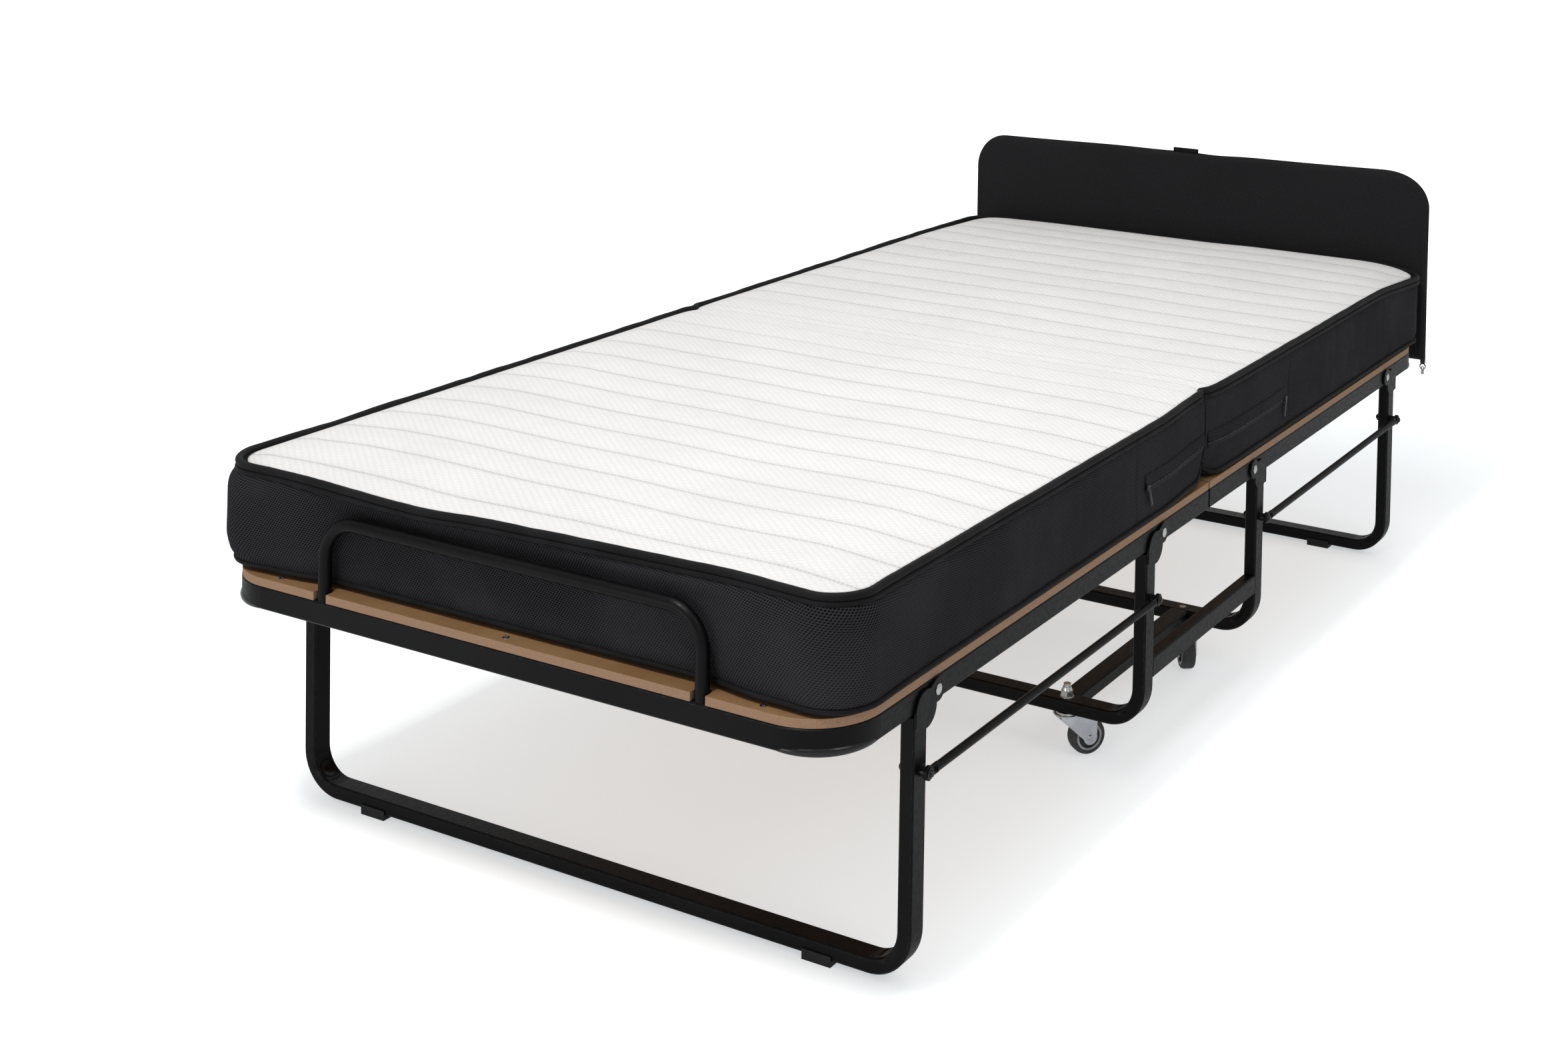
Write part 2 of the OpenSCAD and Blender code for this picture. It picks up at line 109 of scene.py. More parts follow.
def sweep(path, r, n=10, closed=False, squash_z=1.0):
    """Round tube along a path (mm). Returns points, faces, uv (length, turn)."""
    p = np.asarray(path, float)
    m = len(p)
    if closed:
        t = np.roll(p, -1, 0) - np.roll(p, 1, 0)
    else:
        t = np.gradient(p, axis=0)
    t /= np.linalg.norm(t, axis=1)[:, None] + 1e-12
    up = np.tile(np.array([0.0, 0, 1.0]), (m, 1))
    flat = np.abs(t[:, 2]) > 0.95
    up[flat] = [0, 1, 0]
    side = np.cross(t, up)
    side /= np.linalg.norm(side, axis=1)[:, None]
    top = np.cross(side, t)
    rr = np.broadcast_to(np.asarray(r, float), (m,))
    ang = np.arange(n) * 2 * math.pi / n
    pts = (p[:, None, :] + side[:, None, :] * (np.cos(ang)[None, :, None] * rr[:, None, None])
           + top[:, None, :] * (np.sin(ang)[None, :, None] * rr[:, None, None] * squash_z))
    seg = np.linalg.norm(np.diff(p, axis=0), axis=1)
    s = np.concatenate([[0], np.cumsum(seg)]) * 0.001
    uv = np.stack([np.repeat(s, n), np.tile(ang / (2 * math.pi) * 2 * math.pi * float(np.mean(rr)) * 0.001, m)], 1)
    pts = pts.reshape(-1, 3)
    f = []
    rows = m if closed else m - 1
    for i in range(rows):
        a, b = i * n, ((i + 1) % m) * n
        for j in range(n):
            k = (j + 1) % n
            f.append((a + j, a + k, b + k, b + j))
    if not closed:
        f.append(tuple(range(n - 1, -1, -1)))
        f.append(tuple((m - 1) * n + j for j in range(n)))
    return pts, f, uv


def join_parts(parts):
    V, F, U, base = [], [], [], 0
    for v, f, u in parts:
        V.append(np.asarray(v, float))
        U.append(np.asarray(u, float))
        F += [tuple(int(i) + base for i in q) for q in f]
        base += len(v)
    return np.vstack(V), F, np.vstack(U)


def smooth01(x):
    x = np.clip(x, 0, 1)
    return x * x * (3 - 2 * x)


def nz(x, y=0.0, z=0.0):
    """Smooth noise about -1..1 for arrays."""
    x, y, z = np.broadcast_arrays(np.asarray(x, float), np.asarray(y, float), np.asarray(z, float))
    out = np.array([noise.noise(Vector((a, b, c))) for a, b, c in zip(x.ravel(), y.ravel(), z.ravel())])
    return out.reshape(x.shape)


def catmull_path(points, n):
    """Smooth curve through points, n samples between each pair."""
    P = np.asarray(points, float)
    P = np.vstack([2 * P[0] - P[1], P, 2 * P[-1] - P[-2]])
    out = []
    for i in range(1, len(P) - 2):
        for k in range(n):
            t = k / n
            a, b, c, d = P[i - 1], P[i], P[i + 1], P[i + 2]
            out.append(0.5 * ((2 * b) + (c - a) * t + (2 * a - 5 * b + 4 * c - d) * t * t + (3 * b - a - 3 * c + d) * t ** 3))
    out.append(P[-2])
    return np.array(out)


# ------------------------------------------------------------------ node material helpers
class Nodes:
    def __init__(self, name):
        self.mat = bpy.data.materials.new(name)
        self.mat.use_nodes = True
        self.nt = self.mat.node_tree
        self.nt.nodes.clear()
        self.out = self.nt.nodes.new("ShaderNodeOutputMaterial")
        self.b = self.nt.nodes.new("ShaderNodeBsdfPrincipled")
        self.nt.links.new(self.b.outputs[0], self.out.inputs[0])

    def n(self, kind, **kw):
        node = self.nt.nodes.new(kind)
        for k, v in kw.items():
            if k.startswith("i_"):
                node.inputs[k[2:].replace("_", " ")].default_value = v
            else:
                setattr(node, k, v)
        return node

    def link(self, a, b):
        self.nt.links.new(a, b)

    def val(self, x):
        v = self.nt.nodes.new("ShaderNodeValue")
        v.outputs[0].default_value = x
        return v.outputs[0]

    def math(self, op, a, b=None, c=None):
        m = self.nt.nodes.new("ShaderNodeMath")
        m.operation = op
        for i, v in enumerate((a, b, c)):
            if v is None:
                continue
            if isinstance(v, (int, float)):
                m.inputs[i].default_value = v
            else:
                self.nt.links.new(v, m.inputs[i])
        return m.outputs[0]

    def ramp(self, fac, lo, hi, a=0.0, b=1.0, smooth=True):
        m = self.nt.nodes.new("ShaderNodeMapRange")
        m.interpolation_type = "SMOOTHSTEP" if smooth else "LINEAR"
        self.nt.links.new(fac, m.inputs["Value"])
        for k, v in (("From Min", lo), ("From Max", hi), ("To Min", a), ("To Max", b)):
            m.inputs[k].default_value = v
        return m.outputs[0]

    def mix(self, fac, a, b):
        m = self.nt.nodes.new("ShaderNodeMix")
        m.data_type = "RGBA"
        for sock, v in ((m.inputs[0], fac), (m.inputs[6], a), (m.inputs[7], b)):
            if isinstance(v, (int, float)):
                sock.default_value = v
            elif isinstance(v, (tuple, list)):
                sock.default_value = (*v, 1.0) if len(v) == 3 else v
            else:
                self.nt.links.new(v, sock)
        return m.outputs[2]

    def noise(self, scale, detail=2.0, coord=None, rough=0.5):
        t = self.nt.nodes.new("ShaderNodeTexNoise")
        t.inputs["Scale"].default_value = scale
        t.inputs["Detail"].default_value = detail
        t.inputs["Roughness"].default_value = rough
        if coord is not None:
            self.nt.links.new(coord, t.inputs["Vector"])
        return t.outputs["Fac"]

    def obj(self):
        return self.n("ShaderNodeTexCoord").outputs["Object"]

    def uv(self):
        return self.n("ShaderNodeTexCoord").outputs["UV"]

    def sep(self, vec):
        s = self.nt.nodes.new("ShaderNodeSeparateXYZ")
        self.nt.links.new(vec, s.inputs[0])
        return s.outputs

    def bump(self, height, strength, dist, normal=None):
        b = self.nt.nodes.new("ShaderNodeBump")
        b.inputs["Strength"].default_value = strength
        b.inputs["Distance"].default_value = dist
        self.nt.links.new(height, b.inputs["Height"])
        if normal is not None:
            self.nt.links.new(normal, b.inputs["Normal"])
        return b.outputs[0]

    def bevel(self, radius, samples=6):
        b = self.nt.nodes.new("ShaderNodeBevel")
        b.samples = samples
        b.inputs["Radius"].default_value = radius
        return b.outputs[0]

    def set(self, **kw):
        for k, v in kw.items():
            s = self.b.inputs[k.replace("_", " ")]
            if isinstance(v, (int, float)):
                s.default_value = v
            elif isinstance(v, (tuple, list)):
                s.default_value = (*v, 1.0) if len(v) == 3 and s.type == "RGBA" else v
            else:
                self.nt.links.new(v, s)
        return self


def edge_mask(m, radius):
    """1 along sharp edges, 0 on flats, and the rounded normal."""
    bn = m.bevel(radius)
    g = m.n("ShaderNodeNewGeometry").outputs["Normal"]
    d = m.nt.nodes.new("ShaderNodeVectorMath")
    d.operation = "DOT_PRODUCT"
    m.link(bn, d.inputs[0])
    m.link(g, d.inputs[1])
    return m.ramp(d.outputs["Value"], 0.985, 0.86, 0.0, 1.0), bn


def bend_dent(m, c):
    """0 at the pressed inside of a leg bend, 1 away from it, in the row frame."""
    x, y, z = m.sep(c)[0:3]
    ay = m.math("ABSOLUTE", y)
    best = None
    for px, pz in ((-0.804, 0.0349), (0.770, 0.0349), (-0.209, 0.0918), (0.175, 0.0918)):
        dx = m.math("MULTIPLY", m.math("SUBTRACT", x, px), 0.8)
        dy = m.math("SUBTRACT", ay, 0.4218)
        dz = m.math("SUBTRACT", z, pz)
        # along the bend and across it
        al = m.math("MULTIPLY", m.math("ADD", dy, dz), 0.55)
        ac = m.math("SUBTRACT", dy, dz)
        d2 = m.math("ADD", m.math("ADD", m.math("POWER", m.math("ABSOLUTE", dx), 2.0), m.math("POWER", m.math("ABSOLUTE", al), 2.0)),
                    m.math("POWER", m.math("ABSOLUTE", ac), 2.0))
        d = m.math("SQRT", d2)
        best = d if best is None else m.math("MINIMUM", best, d)
    return m.ramp(best, 0.003, 0.020)


def powder_coat(name, base, rough, edge=(0.06, 0.058, 0.055), spec=0.32, bevel=0.0016, dents=False):
    m = Nodes(name)
    c = m.obj()
    e, bn = edge_mask(m, bevel)
    if dents:
        dent = bend_dent(m, c)
        rip = m.math("ADD", dent, m.math("MULTIPLY", m.math("SINE", m.math("MULTIPLY", dent, 9.0)), 0.12))
        bn = m.bump(rip, 1.0, 0.0045, bn)
    big = m.noise(7.0, 3.0, c)
    fine = m.noise(1100.0, 1.0, c)
    spots = m.noise(160.0, 2.0, c)
    col = m.mix(m.ramp(big, 0.35, 0.7), base, tuple(x * 1.45 + 0.001 for x in base))
    wear = m.math("MULTIPLY", e, m.ramp(spots, 0.42, 0.66, 0.12, 0.75))
    col = m.mix(wear, col, edge)
    r = m.math("ADD", m.ramp(spots, 0.3, 0.7, rough - 0.05, rough + 0.07), m.math("MULTIPLY", e, -0.05))
    n1 = m.bump(fine, 0.16, 0.00025, bn)
    n2 = m.bump(spots, 0.06, 0.0005, n1)
    m.set(Base_Color=col, Roughness=r, Specular_IOR_Level=spec, Normal=n2)
    return m.mat


def metal(name, base, rough, scale=260.0, aniso=0.0, bevel=0.0006, dirt=0.25):
    m = Nodes(name)
    c = m.obj()
    e, bn = edge_mask(m, bevel)
    big = m.noise(40.0, 4.0, c)
    fine = m.noise(scale, 3.0, c)
    col = m.mix(m.ramp(big, 0.3, 0.75, 0.0, dirt), base, tuple(x * 0.55 for x in base))
    col = m.mix(m.math("MULTIPLY", e, 0.5), col, tuple(min(1, x * 1.25) for x in base))
    r = m.ramp(fine, 0.25, 0.75, rough - 0.07, rough + 0.12)
    m.set(Base_Color=col, Metallic=1.0, Roughness=r, Normal=m.bump(fine, 0.12, 0.0002, bn))
    return m.mat


# ------------------------------------------------------------------ materials
MAT = {}
MAT["frame_black"] = powder_coat("frame_black", (0.0021, 0.0020, 0.0025), 0.36, spec=0.13, dents=True)
MAT["frame_lip"] = powder_coat("frame_black_lip", (0.0028, 0.0027, 0.0032), 0.16, spec=0.5)
MAT["bolt_black"] = powder_coat("bolt_black", (0.0040, 0.0040, 0.0043), 0.30, edge=(0.10, 0.10, 0.10), bevel=0.0008, spec=0.3)
MAT["rivet_steel"] = metal("rivet_steel", (0.66, 0.66, 0.65), 0.22)
MAT["plated_steel"] = metal("plated_steel", (0.70, 0.70, 0.69), 0.24)
MAT["zinc_plate"] = metal("zinc_plate", (0.756, 0.783, 0.837), 0.30, scale=120.0, bevel=0.0010, dirt=0.45)


def rubber(name, base, rough):
    m = Nodes(name)
    c = m.obj()
    e, bn = edge_mask(m, 0.0012)
    a = m.noise(70.0, 3.0, c)
    f = m.noise(900.0, 2.0, c)
    col = m.mix(m.ramp(a, 0.3, 0.7), base, tuple(x * 1.5 for x in base))
    col = m.mix(m.math("MULTIPLY", e, 0.45), col, tuple(min(1, x * 2.4 + 0.02) for x in base))
    m.set(Base_Color=col, Roughness=m.ramp(f, 0.3, 0.7, rough - 0.06, rough + 0.1), Specular_IOR_Level=0.3,
          Normal=m.bump(f, 0.2, 0.0003, bn))
    return m.mat


MAT["wheel_grey"] = rubber("wheel_grey", (0.030, 0.030, 0.032), 0.55)
MAT["ring_grey"] = rubber("ring_grey", (0.20, 0.20, 0.205), 0.5)
MAT["pad_black"] = rubber("pad_black", (0.006, 0.006, 0.0062), 0.48)


def board_material():
    m = Nodes("board_tan")
    c = m.obj()
    e, bn = edge_mask(m, 0.0009)
    g = m.n("ShaderNodeNewGeometry").outputs["Normal"]
    nzv = m.sep(g)[2]
    up = m.ramp(m.math("ABSOLUTE", nzv), 0.5, 0.9)
    mp = m.n("ShaderNodeMapping")
    mp.inputs["Scale"].default_value = (5.0, 55.0, 55.0)
    m.link(c, mp.inputs["Vector"])
    fibre = m.noise(7.0, 6.0, mp.outputs[0], 0.7)
    cloud = m.noise(9.0, 3.0, c)
    speck = m.noise(900.0, 2.0, c)
    top = m.mix(m.ramp(cloud, 0.3, 0.7), (0.238, 0.129, 0.057), (0.290, 0.167, 0.078))
    top = m.mix(m.ramp(fibre, 0.42, 0.72, 0.0, 0.5), top, (0.178, 0.095, 0.042))
    edge = m.mix(m.ramp(speck, 0.3, 0.7), (0.198, 0.110, 0.060), (0.264, 0.158, 0.090))
    layers = m.n("ShaderNodeTexWave")
    layers.bands_direction = "Z"
    layers.inputs["Scale"].default_value = 140.0
    layers.inputs["Distortion"].default_value = 2.0
    m.link(c, layers.inputs["Vector"])
    edge = m.mix(m.math("MULTIPLY", layers.outputs["Fac"], 0.22), edge, (0.145, 0.079, 0.042))
    col = m.mix(up, edge, top)
    col = m.mix(m.math("MULTIPLY", e, 0.35), col, (0.343, 0.220, 0.132))
    rough = m.ramp(up, 0, 1, 0.75, 0.36)
    m.set(Base_Color=col, Roughness=rough, Specular_IOR_Level=0.4,
          Normal=m.bump(speck, 0.15, 0.0003, bn))
    return m.mat


MAT["board_tan"] = board_material()


def border_mesh_material(name, lo, hi, cell, sheen=0.35, strength=0.9):
    """Three-layer spacer mesh: diagonal rows of small open cells. UV is in metres."""
    m = Nodes(name)
    s = m.sep(m.uv())
    wob = m.noise(35.0, 2.0, m.uv())
    u = m.math("DIVIDE", s[0], cell)
    v = m.math("DIVIDE", s[1], cell * 0.72)
    p = m.math("ADD", u, m.math("MULTIPLY", v, 0.5))
    q = m.math("SUBTRACT", v, m.math("MULTIPLY", u, 0.18))
    p = m.math("ADD", p, m.math("MULTIPLY", wob, 0.35))
    sp = m.math("ABSOLUTE", m.math("SINE", m.math("MULTIPLY", p, math.pi)))
    sq = m.math("ABSOLUTE", m.math("SINE", m.math("MULTIPLY", q, math.pi)))
    hole = m.math("MULTIPLY", sp, sq)
    cellm = m.ramp(hole, 0.30, 0.78)
    fib = m.noise(2600.0, 2.0, m.uv())
    cloud = m.noise(6.0, 3.0, m.uv())
    thread = m.mix(m.ramp(fib, 0.3, 0.7), tuple(x * 0.75 for x in hi), hi)
    col = m.mix(cellm, thread, lo)
    col = m.mix(m.ramp(cloud, 0.35, 0.7, 0.0, 0.25), col, tuple(x * 1.6 for x in hi))
    height = m.math("ADD", m.math("MULTIPLY", cellm, -1.0), m.math("MULTIPLY", fib, 0.25))
    m.set(Base_Color=col, Roughness=0.85, Specular_IOR_Level=0.05, Sheen_Weight=sheen, Sheen_Roughness=0.45,
          Sheen_Tint=(0.55, 0.55, 0.6), Normal=m.bump(height, strength, 0.0009))
    return m.mat


MAT["border"] = border_mesh_material("border_mesh", (0.0008, 0.0008, 0.0011), (0.0255, 0.0245, 0.0270), 0.0037, sheen=0.01)


def knit_material():
    """White knitted ticking: staggered rows of small dimples and stitched quilting lines."""
    m = Nodes("mattress_knit")
    uvv = m.uv()
    s = m.sep(uvv)
    wob = m.noise(28.0, 2.0, uvv)
    a = m.math("DIVIDE", s[0], 0.0052)
    b = m.math("DIVIDE", s[1], 0.0062)
    a = m.math("ADD", a, m.math("MULTIPLY", wob, 0.5))
    p = m.math("ADD", a, b)
    q = m.math("SUBTRACT", a, b)
    dim = m.math("MULTIPLY", m.math("ABSOLUTE", m.math("SINE", m.math("MULTIPLY", p, math.pi / 2))),
                 m.math("ABSOLUTE", m.math("SINE", m.math("MULTIPLY", q, math.pi / 2))))
    puff = m.ramp(dim, 0.05, 0.75)
    yarn = m.noise(1900.0, 2.0, uvv)
    cloud = m.noise(5.0, 3.0, uvv)
    at = m.n("ShaderNodeAttribute")
    at.attribute_name = "quilt"
    phi = at.outputs["Fac"]
    dist = m.math("MULTIPLY", m.math("ABSOLUTE", m.math("SUBTRACT", phi, m.math("ROUND", phi))), 0.072)
    dash = m.math("SINE", m.math("MULTIPLY", s[1], 2 * math.pi / 0.0056))
    line = m.ramp(dist, 0.0009, 0.0024, 1.0, 0.0)
    # soft: falls off within 13 mm of a quilting line, used below for painted shade in the crease
    soft = m.ramp(dist, 0.0, 0.013, 1.0, 0.0)
    thread = m.math("MULTIPLY", line, m.ramp(dash, -0.5, 0.1, 0.35, 1.0))
    at2 = m.n("ShaderNodeAttribute")
    at2.attribute_name = "plain"
    keep = m.math("SUBTRACT", 1.0, m.math("MULTIPLY", at2.outputs["Fac"], 0.8))
    thread = m.math("MULTIPLY", thread, keep)
    col = m.mix(m.ramp(cloud, 0.3, 0.7), (0.643, 0.632, 0.626), (0.669, 0.663, 0.658))
    # painted shade: the knit's dimples, the low parts between its puffs, are darkened in colour
    col = m.mix(m.math("MULTIPLY", m.math("SUBTRACT", 1.0, puff), 0.30), col, (0.525, 0.512, 0.507))
    # painted shade: the colour darkens within about 13 mm of each quilting line, in the crease along the seam
    col = m.mix(m.math("MULTIPLY", m.math("MULTIPLY", soft, keep), 0.22), col, (0.490, 0.477, 0.473))
    # the quilting stitches: dashed thread, plus painted shade in the sewn groove that keeps the line darker between
    # the stitches
    col = m.mix(m.math("MULTIPLY", thread, 0.6), col, (0.376, 0.354, 0.350))
    height = m.math("ADD", puff, m.math("MULTIPLY", yarn, 0.22))
    n1 = m.bump(height, 0.55, 0.0008)
    n2 = m.bump(m.math("MULTIPLY", line, -1.0), 0.6, 0.0012, n1)
    m.set(Base_Color=col, Roughness=0.86, Specular_IOR_Level=0.12, Sheen_Weight=0.06, Sheen_Roughness=0.5,
          Subsurface_Weight=0.0, Normal=n2)
    return m.mat


MAT["knit"] = knit_material()


def tape_material(name="binding_tape", base=(0.0030, 0.0030, 0.0034)):
    """Folded binding tape: fine ribs across, a stitched line along."""
    m = Nodes(name)
    s = m.sep(m.uv())
    rib = m.math("SINE", m.math("MULTIPLY", s[0], 2 * math.pi / 0.0016))
    rib2 = m.math("SINE", m.math("MULTIPLY", s[1], 2 * math.pi / 0.0021))
    fib = m.noise(1500.0, 2.0, m.uv())
    cloud = m.noise(18.0, 3.0, m.uv())
    col = m.mix(m.ramp(cloud, 0.35, 0.7), base, tuple(x * 2.2 for x in base))
    # painted highlight: the crests of the ribs are lighter in colour
    col = m.mix(m.ramp(rib, 0.2, 1.0, 0.0, 0.35), col, tuple(x * 3.4 for x in base))
    h = m.math("ADD", m.math("MULTIPLY", rib, 0.5), m.math("ADD", m.math("MULTIPLY", rib2, 0.25), m.math("MULTIPLY", fib, 0.5)))
    m.set(Base_Color=col, Roughness=0.62, Specular_IOR_Level=0.12, Sheen_Weight=0.03, Sheen_Tint=(0.5, 0.5, 0.5),
          Normal=m.bump(h, 0.35, 0.0004))
    return m.mat


MAT["tape"] = tape_material()


def twill_material(name="headboard_twill", base=(0.0064, 0.0060, 0.0066)):
    m = Nodes(name)
    s = m.sep(m.uv())
    per = 0.0030
    u = m.math("DIVIDE", s[0], per)
    v = m.math("DIVIDE", s[1], per)
    diag = m.math("FRACT", m.math("ADD", u, m.math("MULTIPLY", v, 0.62)))
    ridge = m.math("SINE", m.math("MULTIPLY", diag, math.pi))
    yarn = m.math("ABSOLUTE", m.math("SINE", m.math("MULTIPLY", v, math.pi * 2.0)))
    fib = m.noise(1600.0, 3.0, m.uv())
    slub = m.noise(240.0, 2.0, m.uv())
    cloud = m.noise(5.0, 3.0, m.uv())
    h = m.math("ADD", m.math("MULTIPLY", ridge, m.math("ADD", m.math("MULTIPLY", yarn, 0.5), 0.5)), m.math("MULTIPLY", fib, 0.35))
    # painted shade and highlight: the weave's colour follows its relief, darker in the valleys and lighter on the
    # ridges
    col = m.mix(m.ramp(h, 0.2, 1.1), tuple(x * 0.35 for x in base), tuple(x * 2.3 for x in base))
    col = m.mix(m.ramp(slub, 0.6, 0.75, 0.0, 0.35), col, tuple(x * 3.4 for x in base))
    col = m.mix(m.ramp(cloud, 0.35, 0.7, 0.0, 0.25), col, tuple(x * 2.0 for x in base))
    m.set(Base_Color=col, Roughness=0.8, Specular_IOR_Level=0.09, Sheen_Weight=0.04, Sheen_Roughness=0.5,
          Sheen_Tint=(0.6, 0.58, 0.6), Normal=m.bump(h, 0.6, 0.0006))
    return m.mat


MAT["upholstery_black"] = twill_material()

# CAD nodes keep their meshes and take these materials by their record slot
SLOT = {s["node"]: s["material_slot"] for s in frame["record"]["subparts"]}
for node, obj in NODES.items():
    mat = MAT.get(SLOT.get(node))
    if mat is None:
        continue
    if not obj.material_slots:
        obj.data.materials.append(mat)
    for ms in obj.material_slots:
        ms.material = mat
    obj.data.polygons.foreach_set("use_smooth", [False] * len(obj.data.polygons)) if False else None

# ------------------------------------------------------------------ simulated cloth
class Sheet:
    """A flat piece of cover fabric, sewn down where pinned and blown up from behind.

    The cloth runs here and only its shape is kept: rise(a, b) reads it back between its threads."""

    def __init__(self, a, b, pin, growth, force, frames=16, mass=0.05, bend=0.3, stiff=12.0):
        self.a, self.b = np.asarray(a, float), np.asarray(b, float)
        A, B = np.meshgrid(self.a, self.b, indexing="ij")
        V = np.stack([A, B, np.zeros_like(A)], -1).reshape(-1, 3)
        nr, nc = A.shape
        faces = [(i * nc + j, (i + 1) * nc + j, (i + 1) * nc + j + 1, i * nc + j + 1) for i in range(nr - 1) for j in range(nc - 1)]
        me = bpy.data.meshes.new("cloth_trial")
        me.from_pydata(V.tolist(), [], faces)
        o = bpy.data.objects.new("cloth_trial", me)
        bpy.context.scene.collection.objects.link(o)
        vg = o.vertex_groups.new(name="pin")
        vg.add([int(i) for i in np.flatnonzero(pin.ravel())], 1.0, "REPLACE")
        m = o.modifiers.new("cloth", "CLOTH")
        c = m.settings
        c.quality = 5
        c.mass = mass
        c.tension_stiffness = c.compression_stiffness = stiff
        c.shear_stiffness = stiff * 0.4
        c.bending_stiffness = bend
        c.air_damping = 1.0
        c.vertex_group_mass = "pin"
        c.pin_stiffness = 1.0
        c.use_pressure = True
        c.uniform_pressure_force = force
        c.shrink_min = c.shrink_max = growth
        c.effector_weights.gravity = 0.0
        m.collision_settings.use_collision = False
        m.collision_settings.use_self_collision = False
        m.point_cache.frame_start, m.point_cache.frame_end = 1, frames
        sc = bpy.context.scene
        for f in range(1, frames + 1):
            sc.frame_set(f)
        ev = o.evaluated_get(bpy.context.evaluated_depsgraph_get())
        mm = ev.to_mesh()
        co = np.zeros(len(mm.vertices) * 3)
        mm.vertices.foreach_get("co", co)
        ev.to_mesh_clear()
        bpy.data.objects.remove(o)
        bpy.data.meshes.remove(me)
        sc.frame_set(1)
        self.z = np.clip(np.nan_to_num((co.reshape(-1, 3) - V)[:, 2].reshape(nr, nc)), -0.012, 0.012) * 1000

    def rise(self, a, b):
        a = np.clip(np.asarray(a, float), self.a[0], self.a[-1])
        b = np.clip(np.asarray(b, float), self.b[0], self.b[-1])
        i = np.clip(np.searchsorted(self.a, a) - 1, 0, len(self.a) - 2)
        j = np.clip(np.searchsorted(self.b, b) - 1, 0, len(self.b) - 2)
        s = (a - self.a[i]) / (self.a[i + 1] - self.a[i])
        t = (b - self.b[j]) / (self.b[j + 1] - self.b[j])
        z = self.z
        return ((z[i, j] * (1 - t) + z[i, j + 1] * t) * (1 - s) + (z[i + 1, j] * (1 - t) + z[i + 1, j + 1] * t) * s)


# ------------------------------------------------------------------ mattress
MAT_Z0, MAT_Z1 = 343.0, 469.5
PROFILE_Z = np.array([343, 345, 348, 353, 361, 372, 388, 405, 422, 438, 448, 455, 460, 464, 467.0])
PROFILE_D = np.array([-7.5, -5.5, -4.0, -1.0, 2.0, 4.0, 5.2, 5.6, 5.9, 6.2, 5.6, 4.0, 1.2, -2.6, -5.0])


